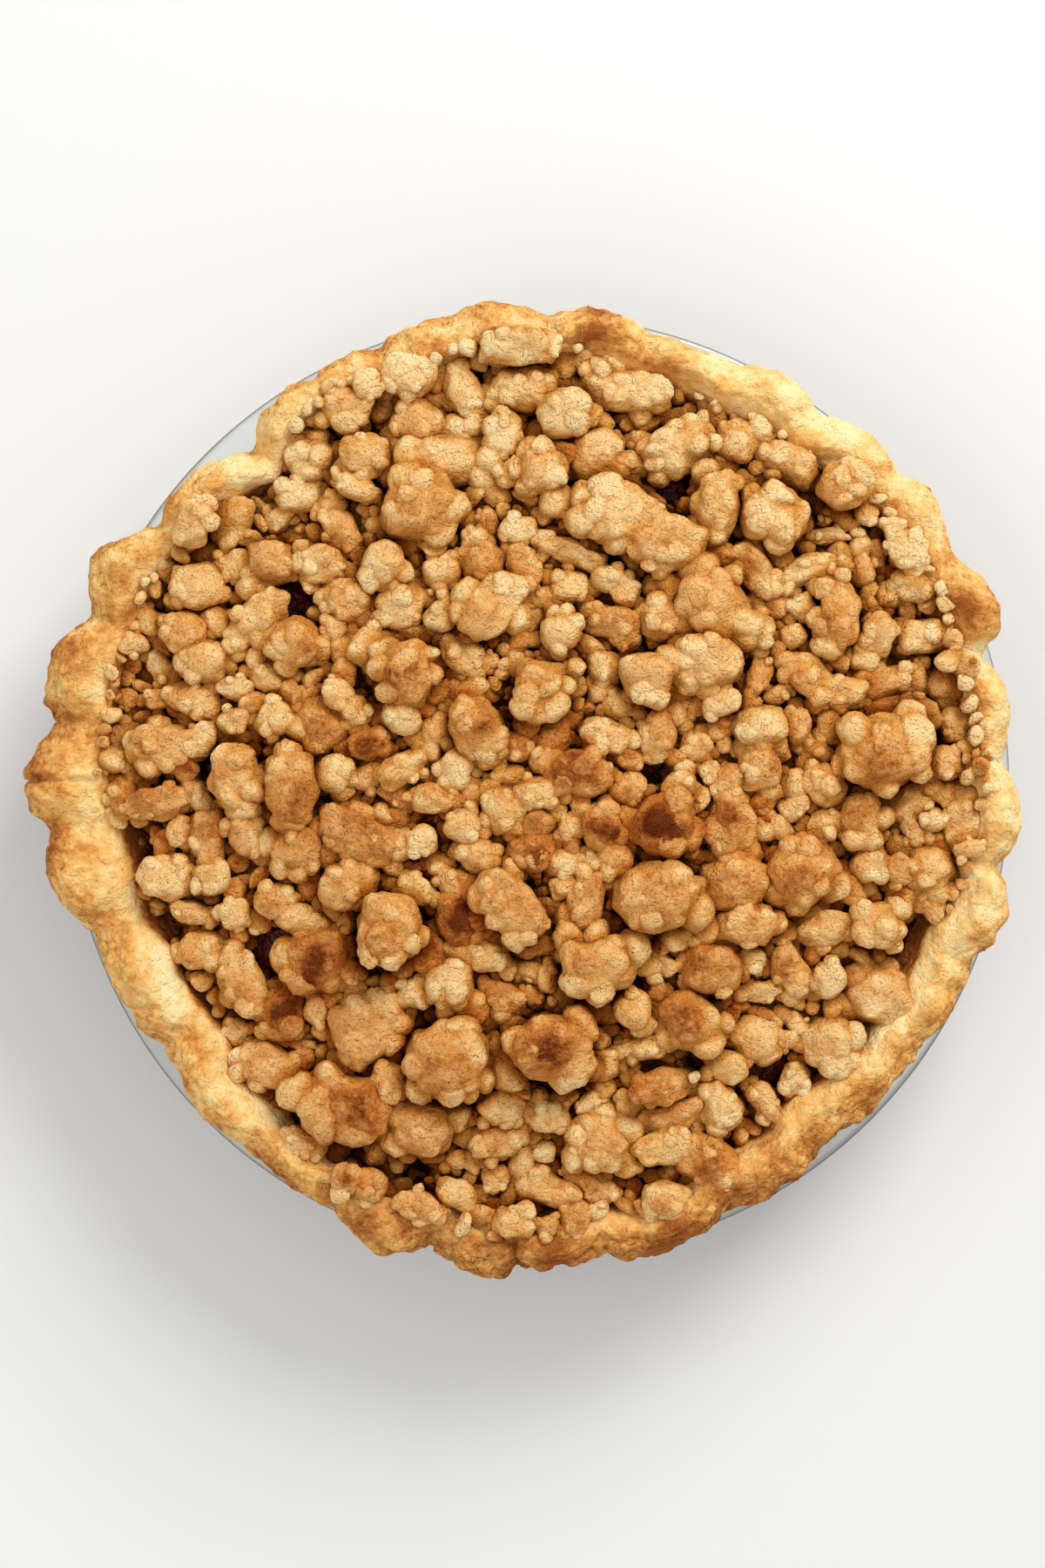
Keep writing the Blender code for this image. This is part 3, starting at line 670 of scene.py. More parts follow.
def clump_tree():
    """Rough lumps of baked crumble on points that carry their size and turn."""
    tree, given = new_tree("crumble_clumps", CLUMP_LABELS, Faces="Int")
    corners = add(tree, MATH, (given["Faces"], 1.0), operation="ADD")
    cube = add(tree, "GeometryNodeMeshCube", {
        "Size": (2, 2, 2), "Vertices X": corners, "Vertices Y": corners, "Vertices Z": corners,
    }, "Mesh")
    where = add(tree, "GeometryNodeInputPosition")
    squared = add(tree, VECTOR_MATH, (where, where), operation="MULTIPLY")
    fourth = add(tree, VECTOR_MATH, (squared, squared), "Value", operation="DOT_PRODUCT")
    boxy = add(tree, MATH, (fourth, 0.25), operation="POWER")
    ball = add(tree, VECTOR_MATH, [where], "Value", operation="LENGTH")
    length = add(tree, MIX, {0: BLOCKINESS, 2: ball, 3: boxy})
    inverse = add(tree, MATH, (1.0, length), operation="DIVIDE")
    round_place = add(tree, VECTOR_MATH, {0: where, "Scale": inverse}, operation="SCALE")
    lump = add(tree, "GeometryNodeSetPosition", {"Geometry": cube, "Position": round_place})

    turn, size, shift = (
        add(tree, "GeometryNodeInputNamedAttribute", {"Name": name}, data_type="FLOAT_VECTOR")
        for name in ("turn", "size", "shift")
    )
    middle, half = (
        add(tree, "GeometryNodeInputNamedAttribute", {"Name": name}, data_type="FLOAT")
        for name in ("middle", "half")
    )
    placed = add(tree, "GeometryNodeInstanceOnPoints", {
        "Points": given["Geometry"], "Instance": lump, "Rotation": turn, "Scale": size,
    })
    shape = add(tree, "GeometryNodeRealizeInstances", [placed])

    warp = add(tree, "ShaderNodeTexNoise", {
        "Vector": pattern_place(tree, given["Warp Size"], shift), "Scale": 1.0, "Detail": 0.7,
    }, "Color")
    centred = add(tree, VECTOR_MATH, (warp, (0.5, 0.5, 0.5)), operation="SUBTRACT")
    bend = add(tree, VECTOR_MATH, {0: centred, "Scale": given["Warp Depth"]}, operation="SCALE")
    shape = add(tree, "GeometryNodeSetPosition", {"Geometry": shape, "Offset": bend})

    lobe = lobes(tree, pattern_place(tree, given["Lobe Size"], shift), 0.4)
    lobe = add(tree, "GeometryNodeBlurAttribute", {"Value": lobe, "Iterations": 2},
               data_type="FLOAT")
    raised = add(tree, MATH, (lobe, 0.6), operation="SUBTRACT")
    shape = push_out(tree, shape, product_of(tree, raised, given["Lobe Depth"]))
    crease = creases(tree, pattern_place(tree, given["Crease Size"], shift), 0.07)
    shape = push_out(tree, shape, product_of(tree, crease, given["Crease Depth"]))

    height = add(tree, "ShaderNodeSeparateXYZ", [add(tree, "GeometryNodeInputPosition")], "Z")
    over = add(tree, MATH, (height, middle), operation="SUBTRACT")
    rise = add(tree, MATH, (over, half), operation="DIVIDE")
    shape = add(tree, "GeometryNodeStoreNamedAttribute", {
        "Geometry": shape, "Name": "rise", "Value": rise,
    }, data_type="FLOAT", domain="POINT")
    finish_tree(tree, shape, given["Material"])
    return tree


def lay_flat():
    """Where the clumps lie, seen from above, as rows of (x, y, length, width, turn, toast)
    in metres, degrees and shares."""
    draw = random.Random(FILL_SEED)
    clumps = [
        (x * MM, y * MM, SPREAD * length * MM, SPREAD * width * MM, turn, toast_and_painted_light)
        for x, y, length, width, turn, toast_and_painted_light in (*LANDMARKS, *NUGGETS)
    ]
    keep_open = [(x * MM, y * MM, radius * MM) for x, y, radius in OPEN_PLACES]
    furthest = max(reach for _, reach in CRUMBLE_EDGE) * MM
    taken = np.array([(c[0], c[1], (c[2] + c[3]) / 4) for c in clumps])
    for shortest, longest, tries, closeness in FILL_SIZES:
        for _ in range(tries):
            length = draw.uniform(shortest, longest) * MM
            width = length * draw.uniform(*WIDTH_OF_LENGTH)
            degrees = draw.uniform(0, 360)
            x, y, _ = at_angle(degrees, furthest * math.sqrt(draw.random()))
            turn = draw.uniform(0, 180)
            # Painted light: towards the far edge, nearer the window, the clumps are made paler.
            mean = TOAST_MEAN - FAR_PAINTED_LIGHT_DROP * max(0, y / furthest)
            toast_and_painted_light = min(1, max(LEAST_TOAST, draw.gauss(mean, TOAST_SPREAD)))
            own = (length + width) / 4
            beyond = math.hypot(x, y) + own - crumble_reach(degrees)
            if beyond > EDGE_SCATTER * draw.uniform(*SCATTER_SHARE):
                continue
            if beyond > -EDGE_SCATTER:
                toast_and_painted_light = EDGE_TOAST * toast_and_painted_light
            clear = CLEAR_OF_OPENING * own
            if any(math.hypot(x - u, y - v) < clear + r for u, v, r in keep_open):
                continue
            apart = np.hypot(taken[:, 0] - x, taken[:, 1] - y)
            if (apart < closeness * (own + taken[:, 2])).any():
                continue
            clumps.append((x, y, length, width, turn, toast_and_painted_light))
            taken = np.vstack([taken, (x, y, own)])
    return clumps


def lobes_on(clump, draw):
    """The smaller lumps that are baked onto a clump, partly sunk in its surface."""
    x, y, z, length, width, height, turn, toast_and_painted_light, middle, half = clump
    if length < LOBED_FROM:
        return []
    lumps_on = []
    for _ in range(round(LOBES_PER_CM * math.sqrt(length * width) / (10 * MM))):
        size = draw.uniform(*LOBE_SHARE) * width
        out = math.sqrt(draw.uniform(*LOBE_PLACES))
        spin = draw.uniform(0, 360)
        along, across, _ = at_angle(spin, out)
        place = at_angle(turn, along * length / 2) + at_angle(turn + 90, across * width / 2)
        up = math.sqrt(1 - out ** 2) * height / 2 - LOBE_SINK * size
        lumps_on.append((
            x + place.x, y + place.y, z + up, size, size * draw.uniform(*LOBE_WIDTH),
            size * draw.uniform(*LOBE_HEIGHT), draw.uniform(0, 180),
            min(1, max(0, toast_and_painted_light + draw.gauss(0, LOBE_TOAST_SPREAD))),
            middle, half + LOBE_STAND * size,
        ))
    return lumps_on


def lay_clumps():
    """The clumps and the lumps on them, as rows of (x, y, z, length, width, height, turn,
    toast) and the middle and half height of the clump that each belongs to."""
    draw = random.Random(FILL_SEED + 1)
    clumps = []
    lumps_on = []
    for x, y, length, width, turn, toast_and_painted_light in lay_flat():
        height = width * draw.uniform(*FLATNESS)
        stand = STAND + (STAND_OF_WIDTH + draw.gauss(0, SWING_OF_WIDTH)) * width
        z = ground_height(x, y) + stand
        clump = (x, y, z, length, width, height, turn, toast_and_painted_light, z, height / 2)
        clumps.append(clump)
        lumps_on.extend(lobes_on(clump, draw))
    return clumps, lumps_on


def clump_points(name, clumps):
    """A mesh of one point for each clump, with what the clump's shape is made from."""
    draw = random.Random(name)
    x, y, z, length, width, height, turn, toast_and_painted_light, middle, half = np.array(clumps).T
    mesh = bpy.data.meshes.new(name)
    mesh.from_pydata(np.stack([x, y, z], axis=-1).tolist(), [], [])
    lean = [(draw.gauss(0, LEAN), draw.gauss(0, LEAN), math.radians(angle)) for angle in turn]
    shift = [[draw.uniform(-RELIEF_SHIFT, RELIEF_SHIFT) for _ in range(3)] for _ in clumps]
    give_attribute(mesh, "size", np.stack([length, width, height], axis=-1) / 2)
    give_attribute(mesh, "turn", lean)
    give_attribute(mesh, "shift", shift)
    give_attribute(mesh, "middle", middle)
    give_attribute(mesh, "half", half)
    # Painted light: every clump is paled towards the far edge, nearer the window.
    painted_light_paling = 1 - FAR_PAINTED_LIGHT_PALING * np.clip(y / DISH_RADIUS, 0, 1)
    give_attribute(mesh, "toast_and_painted_light", PALEST + TOAST_SPAN * toast_and_painted_light * painted_light_paling)
    return mesh


def make_clumps(baked):
    """The heap by size, each size a piece of its own."""
    pieces = []
    tree = clump_tree()
    for kinds, clumps in zip((CLUMP_KINDS, LOBE_KINDS), lay_clumps()):
        for name, shortest, longest, faces, *sizes in kinds:
            own = [c for c in clumps if shortest * MM <= c[3] < longest * MM]
            points = clump_points(name, own)
            piece = run_nodes(name, points, tree, baked, CLUMP_LABELS, sizes, Faces=faces)
            hand_in(piece, "crumble_topping")
            pieces.append(piece)
    return pieces


def points_of(piece):
    """The places of a piece's points, as an array of (point, xyz)."""
    flat = np.empty(3 * len(piece.data.vertices), np.float32)
    piece.data.vertices.foreach_get("co", flat)
    return flat.reshape(-1, 3).astype(float)


def local_mean(grid, reach):
    """The mean over a square of cells round each cell."""
    size = 2 * reach + 1
    sums = np.pad(np.pad(grid, reach, mode="edge").cumsum(0).cumsum(1), ((1, 0), (1, 0)))
    total = sums[size:, size:] - sums[:-size, size:] - sums[size:, :-size] + sums[:-size, :-size]
    return total / size ** 2


def give_depths(pieces):
    """Gives every point of the heap how far it lies under the heap round it. The heights
    are read in cells, where each takes the highest of its neighbours."""
    places = [points_of(piece) for piece in pieces]
    every = np.concatenate(places)
    cells = ((every[:, :2] - every[:, :2].min(axis=0)) / HEIGHT_CELL).astype(int)
    heights = np.full(cells.max(axis=0) + 1, FILLING_EDGE_HEIGHT)
    np.maximum.at(heights, tuple(cells.T), every[:, 2])
    for axis in (0, 1, 0, 1):
        shifted = [np.roll(heights, step, axis) for step in (-1, 0, 1)]
        heights = np.maximum.reduce(shifted)
    reach = round(HEIGHT_REACH / HEIGHT_CELL)
    around = local_mean(local_mean(heights, reach), reach)
    beside = local_mean(heights, 1)
    depths = (around[tuple(cells.T)] - every[:, 2]) / SHADE_DEPTH
    creased = (beside[tuple(cells.T)] - every[:, 2]).clip(0, DEEPEST_CREASE)
    depths = depths + creased / CREASE_SHADE_DEPTH
    starts = np.cumsum([len(place) for place in places])[:-1]
    for piece, depth in zip(pieces, np.split(depths, starts)):
        give_attribute(piece.data, "deep", depth)


# Materials

def new_material(name):
    material = bpy.data.materials.new(name)
    material.use_nodes = True
    tree = material.node_tree
    return material, tree, tree.nodes["Principled BSDF"].inputs


def give_ramp(socket, stops):
    """Sets the colours of the ramp that the socket belongs to, as (place, hex code)."""
    elements = socket.node.color_ramp.elements
    while len(elements) < len(stops):
        elements.new(0.5)
    for element, (place, code) in zip(elements, stops):
        element.position = place
        element.color = linear(code)
    return socket


def lumps(tree, size, detail=2.0, low=0.0, high=1.0):
    """Noise with lumps of a size, stretched from its usual span to low and high."""
    place = add(tree, "ShaderNodeTexCoord", output="Object")
    value = add(tree, "ShaderNodeTexNoise", {
        "Vector": place, "Scale": 1 / size, "Detail": detail, "Roughness": 0.58,
    })
    return add(tree, "ShaderNodeMapRange", {
        "Value": value, "From Min": 0.3, "From Max": 0.7, "To Min": low, "To Max": high,
    })


def relief(tree, *layers):
    """Bumps laid over each other, as (height, depth in metres)."""
    normal = None
    for height, depth in layers:
        inputs = {"Height": height, "Distance": depth, "Strength": 1.0}
        if normal:
            inputs["Normal"] = normal
        normal = add(tree, "ShaderNodeBump", inputs)
    return normal


def paint_crevice_shade(tree, colour, *stops):
    """Paints shade on a colour by how deep a place lies in the heap, as (depth, hex code)."""
    deep = add(tree, "ShaderNodeAttribute", output="Fac", attribute_name="deep")
    shade = give_ramp(add(tree, "ShaderNodeValToRGB", [deep]), stops)
    return add(tree, MIX, {0: 1.0, 6: colour, 7: shade}, 2, data_type="RGBA",
               blend_type="MULTIPLY")


def crumble_material():
    """Baked crumble of flour, brown sugar and butter. It is sandy and matte, gold with
    brown tops where the heat caught it, paler towards the far edge as painted light from
    the window, and darkened in its crevices by painted shade."""
    material, tree, shader = new_material("baked_butter_crumble")
    rise, toast_and_painted_light = (
        add(tree, "ShaderNodeAttribute", output="Fac", attribute_name=name)
        for name in ("rise", "toast_and_painted_light")
    )
    top = add(tree, "ShaderNodeMapRange", {"Value": rise, "From Min": -0.2, "From Max": 1.05})
    # Only the very tops are caught, in patches, and those of toasted clumps the most.
    tip = product_of(tree, top, top, top, lumps(tree, 5 * MM, 3, 0.3, 0.75))
    caught = product_of(tree, tip, sum_of(tree, product_of(tree, toast_and_painted_light, toast_and_painted_light), 1.0))
    browned_and_painted_light = product_of(tree, toast_and_painted_light, sum_of(tree, caught, 0.34))
    browned_and_painted_light = sum_of(tree, browned_and_painted_light, lumps(tree, 8 * MM, 3, -0.1, 0.14))
    browned_and_painted_light = sum_of(tree, browned_and_painted_light, lumps(tree, 1.3 * MM, 3, -0.07, 0.09))
    colour = give_ramp(add(tree, "ShaderNodeValToRGB", [browned_and_painted_light]), (
        (0, "FFE6B0"), (0.2, "FDD796"), (0.4, "F1B76F"), (0.6, "D38C48"), (0.8, "A45A22"),
        (1, "6C3210"),
    ))
    # Painted shade: the deeper a place lies under the heap round it, the darker and browner.
    colour = paint_crevice_shade(
        tree, colour, (0.04, "FFFFFF"), (0.3, "E6C28E"), (0.68, "A06E35"), (1.0, "3E1C08"),
    )
    grain = relief(
        tree, (lumps(tree, 2.4 * MM, 3), 0.9 * MM), (lumps(tree, 0.7 * MM, 2), 0.3 * MM),
    )
    feed(tree, shader, {
        "Base Color": colour, "Roughness": 0.75, "Specular IOR Level": 0.06, "Normal": grain,
    })
    return material


def crust_material():
    """Shortcrust pastry, rolled and baked. Butter and flour bake to a cream colour on the
    sheltered slope and to gold and brown on the rim, with a fine dry crackle. Some of that
    brown is painted shade: along the bottom of the rim, on the slope's shaded side and down
    the inner wall."""
    material, tree, shader = new_material("baked_shortcrust_pastry")
    # The bake carries painted shade too, where the rim, slope and wall lie in shade.
    bake_and_painted_shade = add(tree, "ShaderNodeAttribute", output="Fac", attribute_name="bake_and_painted_shade")
    browned_and_painted_light = sum_of(tree, bake_and_painted_shade, lumps(tree, 10 * MM, 3, -0.31, 0.29))
    browned_and_painted_light = sum_of(tree, browned_and_painted_light, lumps(tree, 2.4 * MM, 4, -0.17, 0.17))
    colour = give_ramp(add(tree, "ShaderNodeValToRGB", [browned_and_painted_light]), (
        (0.0, "FBE5AA"), (0.25, "F9D188"), (0.48, "F1B563"), (0.7, "D58E44"), (0.95, "A65B23"),
    ))
    # The crackle: brown lines round flakes 3 mm wide, where the pastry is dry and layered.
    place = add(tree, "ShaderNodeTexCoord", output="Object")
    wobble = add(tree, "ShaderNodeTexNoise", {
        "Vector": place, "Scale": 1 / (3 * MM), "Detail": 1.0,
    }, "Color")
    bend = add(tree, VECTOR_MATH, {0: wobble, "Scale": 2.4 * MM}, operation="SCALE")
    bent = add(tree, VECTOR_MATH, (place, bend), operation="ADD")
    edge = add(tree, "ShaderNodeTexVoronoi", {"Vector": bent, "Scale": 1 / (3 * MM)},
               feature="DISTANCE_TO_EDGE")
    crack = add(tree, "ShaderNodeMapRange", {
        "Value": edge, "From Max": 0.1, "To Min": 1.0, "To Max": 0.0,
    })
    dry = add(tree, "ShaderNodeMapRange", {
        "Value": browned_and_painted_light, "From Min": 0.15, "From Max": 0.6, "To Max": 0.5,
    })
    flaky = add(tree, "ShaderNodeAttribute", output="Fac", attribute_name="flaky")
    crackle = product_of(tree, crack, dry, flaky, 1.4)
    colour = add(tree, MIX, {0: crackle, 6: colour, 7: linear("AE6C34")}, 2, data_type="RGBA")
    grain = relief(
        tree, (lumps(tree, 3.5 * MM, 4), 0.9 * MM), (crackle, -0.3 * MM),
        (lumps(tree, 0.7 * MM, 2), 0.15 * MM),
    )
    feed(tree, shader, {
        "Base Color": colour, "Roughness": 0.6, "Specular IOR Level": 0.1, "Normal": grain,
    })
    return material


def filling_material():
    """Apple stewed in its own spiced syrup: amber and wet."""
    material, tree, shader = new_material("stewed_apple_in_syrup")
    colour = give_ramp(add(tree, "ShaderNodeValToRGB", [lumps(tree, 6 * MM, 3)]), (
        (0.1, "7A3608"), (0.5, "A8560F"), (0.9, "D08A2A"),
    ))
    # Painted shade: the filling darkens where it lies deep under the heap round it.
    colour = paint_crevice_shade(tree, colour, (0.2, "FFFFFF"), (1.2, "A0602F"))
    feed(tree, shader, {
        "Base Color": colour, "Roughness": 0.22, "Specular IOR Level": 0.2,
        "Normal": relief(tree, (lumps(tree, 3 * MM), 0.6 * MM)),
    })
    return material


def glass_material():
    """Pressed soda-lime glass, fire-polished: clear, with the slow ripple of the mould, and
    a dark grey-green where it is seen along its surface and at its rim."""
    material, tree, shader = new_material("clear_pressed_glass")
    grazing = add(tree, "ShaderNodeLayerWeight", {"Blend": 0.3}, "Facing")
    rim = add(tree, "ShaderNodeAttribute", output="Fac", attribute_name="rim")
    colour = give_ramp(add(tree, "ShaderNodeValToRGB", [sum_of(tree, grazing, rim)]), (
        (0.55, "F4FAF8"), (0.95, "454F4B"),
    ))
    feed(tree, shader, {
        "Base Color": colour, "Roughness": 0.03, "IOR": 1.52, "Transmission Weight": 1.0,
        "Normal": relief(tree, (lumps(tree, 22 * MM, 1), 0.05 * MM)),
    })
    return material


def floor_material():
    """A plain pale painted board."""
    material, tree, shader = new_material("plain_pale_floor")
    feed(tree, shader, {"Base Color": linear("ECECEB"), "Roughness": 0.6})
    return material


# Dish

def rounded(corners, steps):
    """The points of an outline of (radius, height, rounding) corners."""
    points = []
    for before, corner, after in zip([None, *corners], corners, [*corners[1:], None]):
        here = Vector(corner[:2])
        if corner[2] == 0 or before is None or after is None:
            points.append(here)
            continue
        start = here + (Vector(before[:2]) - here).normalized() * corner[2]
        end = here + (Vector(after[:2]) - here).normalized() * corner[2]
        for i in range(steps + 1):
            share = i / steps
            points.append(start.lerp(here, share).lerp(here.lerp(end, share), share))
    return points


def make_dish():
    """The dish's outline turned round its axis, as smooth as pressed glass."""
    rim = DISH_RADIUS - FLANGE_WIDTH
    under_flange = DISH_HEIGHT - FLANGE_THICKNESS
    outline = rounded((
        (0, DISH_FLOOR_THICKNESS, 0),
        (DISH_FLOOR_RADIUS, DISH_FLOOR_THICKNESS, DISH_ROUNDING),
        (rim, DISH_HEIGHT, FLANGE_ROUNDING),
        (DISH_RADIUS, DISH_HEIGHT, FLANGE_ROUNDING),
        (DISH_RADIUS, under_flange, FLANGE_ROUNDING),
        (DISH_SHOULDER_RADIUS, under_flange, FLANGE_ROUNDING),
        (DISH_FOOT_RADIUS, 0, DISH_ROUNDING),
        (0, 0, 0),
    ), ROUNDING_STEPS)
    edges = [(i, i + 1) for i in range(len(outline) - 1)]
    mesh = bpy.data.meshes.new("pie_dish")
    mesh.from_pydata([(p.x, 0, p.y) for p in outline], edges, [])
    give_attribute(mesh, "rim", [
        [min(1, max(0, 1 - (DISH_RADIUS - p.x) / RIM_LINE))] for p in outline
    ])
    dish = new_piece("pie_dish", mesh)
    turn = dish.modifiers.new("turn", "SCREW")
    turn.steps = DISH_STEPS
    turn.render_steps = DISH_STEPS
    turn.use_merge_vertices = True
    turn.merge_threshold = MERGE_WITHIN
    turn.use_smooth_shade = True
    dish.data = evaluated(dish)
    dish.modifiers.clear()
    dish.data.materials.append(glass_material())
    hand_in(dish, "glass_dish")


# Crust

def crust_outline(degrees):
    """The corners of the crust's section at each angle, from the middle of the underside
    out along the dish, over the rim and down the inside to the middle of the floor."""
    top = crust_top(degrees)
    edge = top[0, :, 0] - EDGE_ROLL - EDGE_BULGE
    one = np.ones_like(edge)
    rim = DISH_RADIUS - FLANGE_WIDTH
    under = DISH_FLOOR_THICKNESS - INTO_GLASS
    on_rim = DISH_HEIGHT - INTO_GLASS
    floor = DISH_FLOOR_THICKNESS + PASTRY
    middle = CRUST_MIDDLE_RADIUS
    # The small steps follow the roundings of the glass.
    outside = (
        (middle, under), (middle, under), (DISH_FLOOR_RADIUS - DISH_ROUNDING, under),
        (DISH_FLOOR_RADIUS + INTO_GLASS, under + 0.6 * MM),
        (rim - 2 * MM + INTO_GLASS, DISH_HEIGHT - 2.6 * MM), (rim, on_rim),
        (rim + 3 * MM, on_rim),
    )
    inside = ((CRUST_FLOOR_RADIUS, floor), (middle, floor), (middle, floor))
    before = [np.stack([radius * one, height * one], axis=-1) for radius, height in outside]
    before.append(np.stack([edge, on_rim * one], axis=-1))
    after = [np.stack([radius * one, height * one], axis=-1) for radius, height in inside]
    return np.concatenate([before, top, after])


def pastry_tree():
    """Relief of the pastry: soft swells and lumps, thin layers along the rim, and blisters."""
    tree, given = new_tree("pastry_relief", PASTRY_LABELS)
    bare, flaky, across = (
        add(tree, "GeometryNodeInputNamedAttribute", {"Name": name}, data_type="FLOAT")
        for name in ("bare", "flaky", "across")
    )
    rough = sum_of(tree, flaky, 0.5)
    rounded_lumps = []
    for kind in ("Swell", "Lump"):
        field = add(tree, "ShaderNodeTexNoise", {
            "Vector": pattern_place(tree, given[f"{kind} Size"]), "Scale": 1.0, "Detail": 1.0,
        })
        centred = add(tree, MATH, (field, 0.5), operation="SUBTRACT")
        rounded_lumps.append(product_of(tree, centred, given[f"{kind} Depth"], rough))
    stretched = pattern_place(tree, product_of(tree, given["Layer Size"], 6.0))
    depth = add(tree, MATH, (across, given["Layer Size"]), operation="DIVIDE")
    shift = add(tree, "ShaderNodeCombineXYZ", {2: depth})
    line = creases(tree, add(tree, VECTOR_MATH, (stretched, shift), operation="ADD"), 0.08)
    layers = product_of(tree, line, given["Layer Depth"], flaky)
    blister = lobes(tree, pattern_place(tree, given["Blister Size"]), 0.4)
    blister = product_of(tree, blister, given["Blister Depth"], flaky)
    total = sum_of(tree, *rounded_lumps, layers, blister)
    shape = push_out(tree, given["Geometry"], product_of(tree, total, bare))
    finish_tree(tree, shape, given["Material"])
    return tree


def make_crust():
    """The crust's section swept round the dish, with the pastry's relief. Each point gets
    how bare and how flaky it is, how brown, partly as painted shade, and how far it lies
    along the section."""
    degrees = np.arange(CRUST_COLUMNS) * 360 / CRUST_COLUMNS
    corners = crust_outline(degrees)
    steps = np.array([
        corner + i / rows for corner, rows in enumerate(CRUST_ROWS) for i in range(rows)
    ])
    start = np.minimum(steps.astype(int), len(corners) - 3)
    u = (steps - start)[:, None, None]
    # A quadratic curve through the middles between the corners.
    section = (
        (1 - u) ** 2 / 2 * corners[start]
        + (0.5 + u - u * u) * corners[start + 1]
        + u * u / 2 * corners[start + 2]
    )
    turn = np.radians(degrees)
    points = np.stack([
        section[..., 0] * np.cos(turn), section[..., 0] * np.sin(turn), section[..., 1],
    ], axis=-1)
    mesh = ring_mesh("pastry_crust", points)
    # Brown from baking, with painted shade laid in where the rim, slope and wall lie in shade.
    baking_and_painted_shade = read_table(CRUST_BAKE_AND_PAINTED_SHADE, degrees)
    bare, sloping, flaky, browning_and_painted_shade = (
        np.interp(steps, *zip(*rows))[:, None] for rows in (BARE, SLOPING, FLAKY, BROWNING_AND_PAINTED_SHADE)
    )
    browning_and_painted_shade = browning_and_painted_shade + sloping * read_table(SLOPE_BAKE_AND_PAINTED_SHADE, degrees) + baking_and_painted_shade - EVENLY_BAKED
    lengths = np.linalg.norm(np.diff(section, axis=0, prepend=section[:1]), axis=-1)
    give_attribute(mesh, "bare", np.repeat(bare, CRUST_COLUMNS, axis=1).reshape(-1, 1))
    give_attribute(mesh, "bake_and_painted_shade", browning_and_painted_shade.reshape(-1, 1))
    give_attribute(mesh, "flaky", (flaky * (PALE_FLAKINESS + baking_and_painted_shade)[None, :]).reshape(-1, 1))
    give_attribute(mesh, "across", np.cumsum(lengths, axis=0).reshape(-1, 1))
    crust = run_nodes(
        "pastry_crust", mesh, pastry_tree(), crust_material(), PASTRY_LABELS, PASTRY_RELIEF,
    )
    hand_in(crust, "crust")


# Filling and core

def disc_mesh(name, radii, heights, rows, underside, taper):
    """A round slab whose top follows heights(x, y), out to a radius at each angle. Its
    side goes in towards the underside, to a share of those radii."""
    turn = np.arange(len(radii)) * 2 * np.pi / len(radii)
    x = radii * np.cos(turn)
    y = radii * np.sin(turn)
    rings = [np.stack([taper * x, taper * y, np.full(len(radii), underside)], axis=-1)]
    for share in np.linspace(1, 0.5 / rows, rows):
        rings.append(np.stack([share * x, share * y, heights(share * x, share * y)], axis=-1))
    return ring_mesh(name, np.array(rings))


def rubble_tree():
    """Relief of small rounded lumps, and how high each place stands on its lump."""
    tree, given = new_tree("rubble_relief", RUBBLE_LABELS)
    base = add(tree, "GeometryNodeInputNamedAttribute", {"Name": "rise"}, data_type="FLOAT")
    lump = lobes(tree, pattern_place(tree, given["Lump Size"]), 0.45)
    grit = lobes(tree, pattern_place(tree, given["Grit Size"]), 0.4)
    amount = sum_of(tree, *(
        product_of(tree, height, given[f"{kind} Depth"])
        for kind, height in (("Lump", lump), ("Grit", grit))
    ))
    shape = add(tree, "GeometryNodeStoreNamedAttribute", {
        "Geometry": given["Geometry"], "Name": "rise",
        "Value": sum_of(tree, base, product_of(tree, lump, 0.5)),
    }, data_type="FLOAT", domain="POINT")
    finish_tree(tree, push_out(tree, shape, amount), given["Material"])
    return tree


def make_filling(tree):
    """The apple mound inside the crust's wall."""
    degrees = np.arange(FILLING_COLUMNS) * 360 / FILLING_COLUMNS
    radii = np.minimum(WALL_TOP_RADIUS, crumble_reach(degrees)) - FILLING_GAP
    mesh = disc_mesh("stewed_apple", radii, mound_height, FILLING_ROWS, FILLING_UNDERSIDE,
                     CRUST_FLOOR_RADIUS / WALL_TOP_RADIUS)
    give_attribute(mesh, "rise", np.zeros((len(mesh.vertices), 1)))
    filling = run_nodes(
        "stewed_apple", mesh, tree, filling_material(), RUBBLE_LABELS, FILLING_RELIEF,
    )
    hand_in(filling, "apple_filling")
    return filling


def open_depth(x, y):
    """How far the core is open at a place, from 0 to 1 at the middle of an open place."""
    depth = 0
    for east, north, radius in OPEN_PLACES:
        away = np.hypot(x - east * MM, y - north * MM) / (radius * MM)
        depth = np.maximum(depth, np.exp(-away ** 4))
    return depth


def core_height(x, y):
    """The core under the clumps, which goes down to the filling at the open places."""
    dug = bed_height(x, y) - CORE_BELOW_BED - OPEN_DEPTH * open_depth(x, y)
    return np.maximum(dug, FILLING_EDGE_HEIGHT)


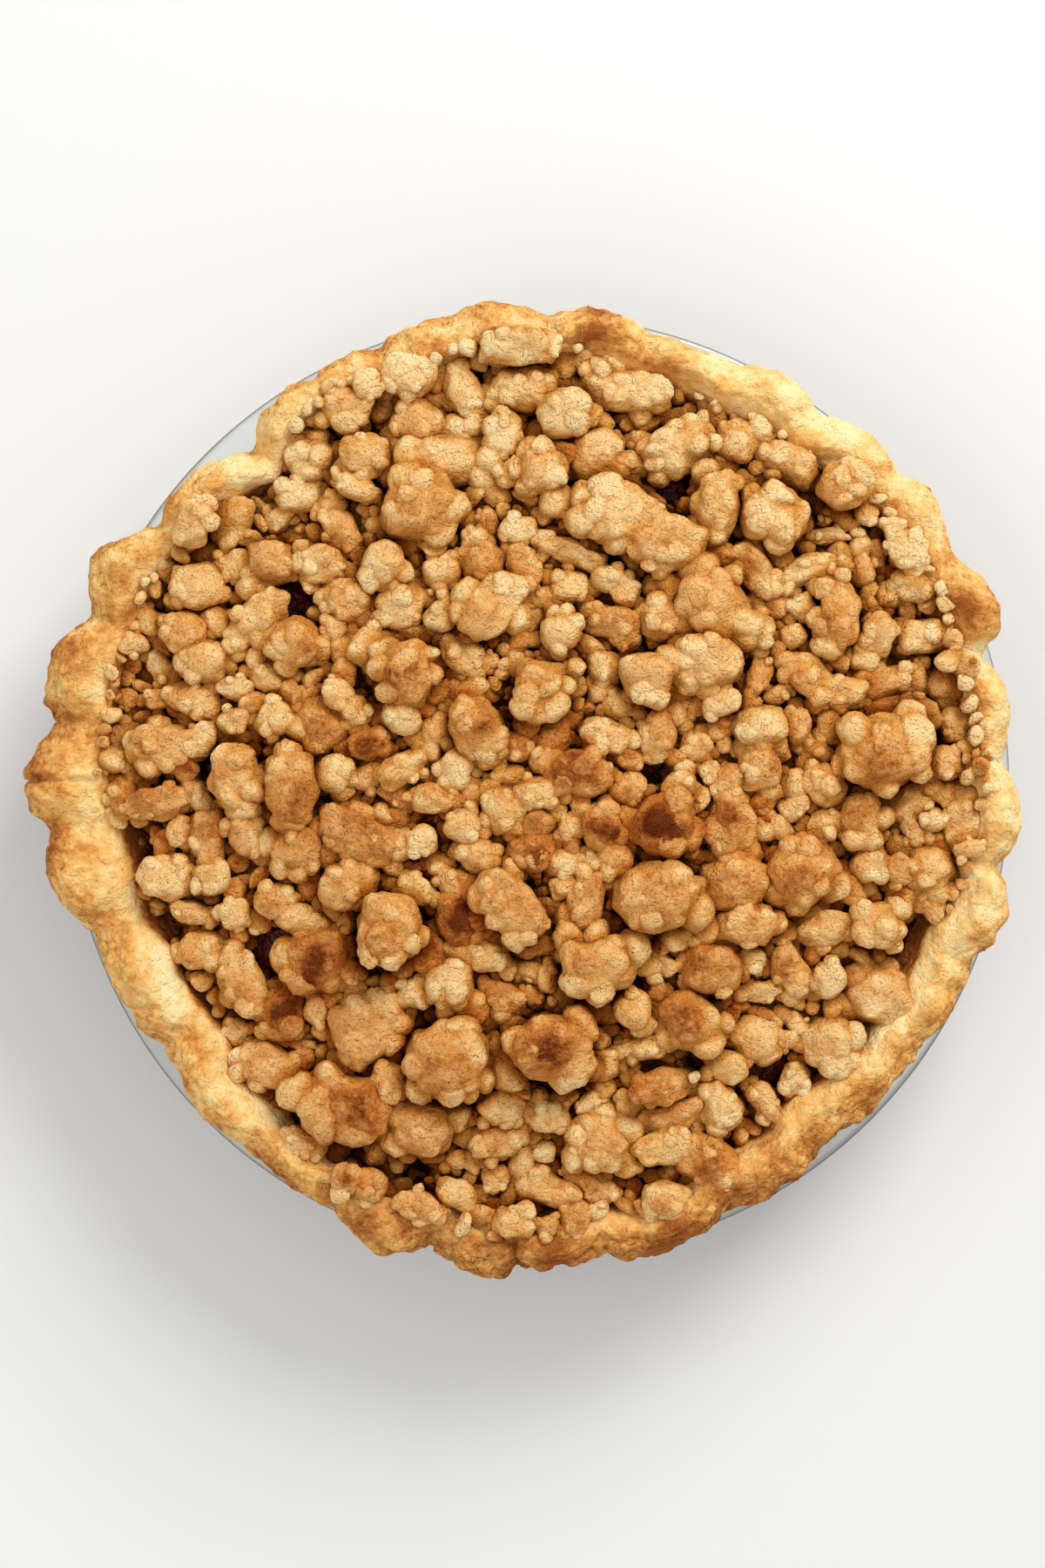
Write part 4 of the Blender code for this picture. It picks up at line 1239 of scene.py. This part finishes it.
def make_core(tree, baked):
    """The fine crumble that the clumps lie in."""
    degrees = np.arange(CORE_COLUMNS) * 360 / CORE_COLUMNS
    radii = crumble_reach(degrees) - MM
    underside = FILLING_EDGE_HEIGHT - CORE_IN_FILLING
    mesh = disc_mesh("crumble_core", radii, core_height, CORE_ROWS, underside, CORE_TAPER)
    x, y, _ = np.array([vertex.co for vertex in mesh.vertices]).T
    give_attribute(mesh, "rise", (CORE_RISE - OPEN_FALL * open_depth(x, y)).reshape(-1, 1))
    give_attribute(mesh, "toast_and_painted_light", np.full((len(x), 1), CORE_TOAST))
    core = run_nodes("crumble_core", mesh, tree, baked, RUBBLE_LABELS, CORE_RELIEF)
    hand_in(core, "crumble_topping")
    return core


# Studio

def make_floor():
    mesh = bpy.data.meshes.new("floor")
    half = FLOOR_SIZE / 2
    corners = [(x, y, 0) for x, y in ((-half, -half), (half, -half), (half, half), (-half, half))]
    mesh.from_pydata(corners, [], [(0, 1, 2, 3)])
    floor = new_piece("floor", mesh)
    mesh.materials.append(floor_material())


def make_light(name, energy, size, place, colour):
    """A soft square light that faces the pie."""
    data = bpy.data.lights.new(name, "AREA")
    data.energy = energy
    data.size = size
    data.color = linear(colour)[:3]
    light = bpy.data.objects.new(name, data)
    light.location = place
    light.rotation_euler = (-Vector(place)).to_track_quat("-Z", "Y").to_euler()
    bpy.context.scene.collection.objects.link(light)


def make_studio():
    make_floor()
    for light in LIGHTS:
        make_light(*light)
    world = bpy.data.worlds.new("studio")
    world.use_nodes = True
    tree = world.node_tree
    feed(tree, tree.nodes["Background"].inputs, (linear("FFFFFF"), SKY_STRENGTH))
    bpy.context.scene.world = world
    bpy.context.scene.view_settings.view_transform = "Standard"


def make_camera():
    data = bpy.data.cameras.new("camera")
    data.sensor_width = SENSOR
    data.lens = SENSOR * CAMERA_ABOVE_RIM / FRAME_LENGTH
    camera = bpy.data.objects.new("camera", data)
    camera.location = (*FRAME_MIDDLE, DISH_HEIGHT + CAMERA_ABOVE_RIM)
    bpy.context.scene.collection.objects.link(camera)
    bpy.context.scene.camera = camera


def main():
    make_camera()
    make_studio()
    make_dish()
    rubble = rubble_tree()
    baked = crumble_material()
    make_crust()
    give_depths([make_filling(rubble), make_core(rubble, baked), *make_clumps(baked)])


main()
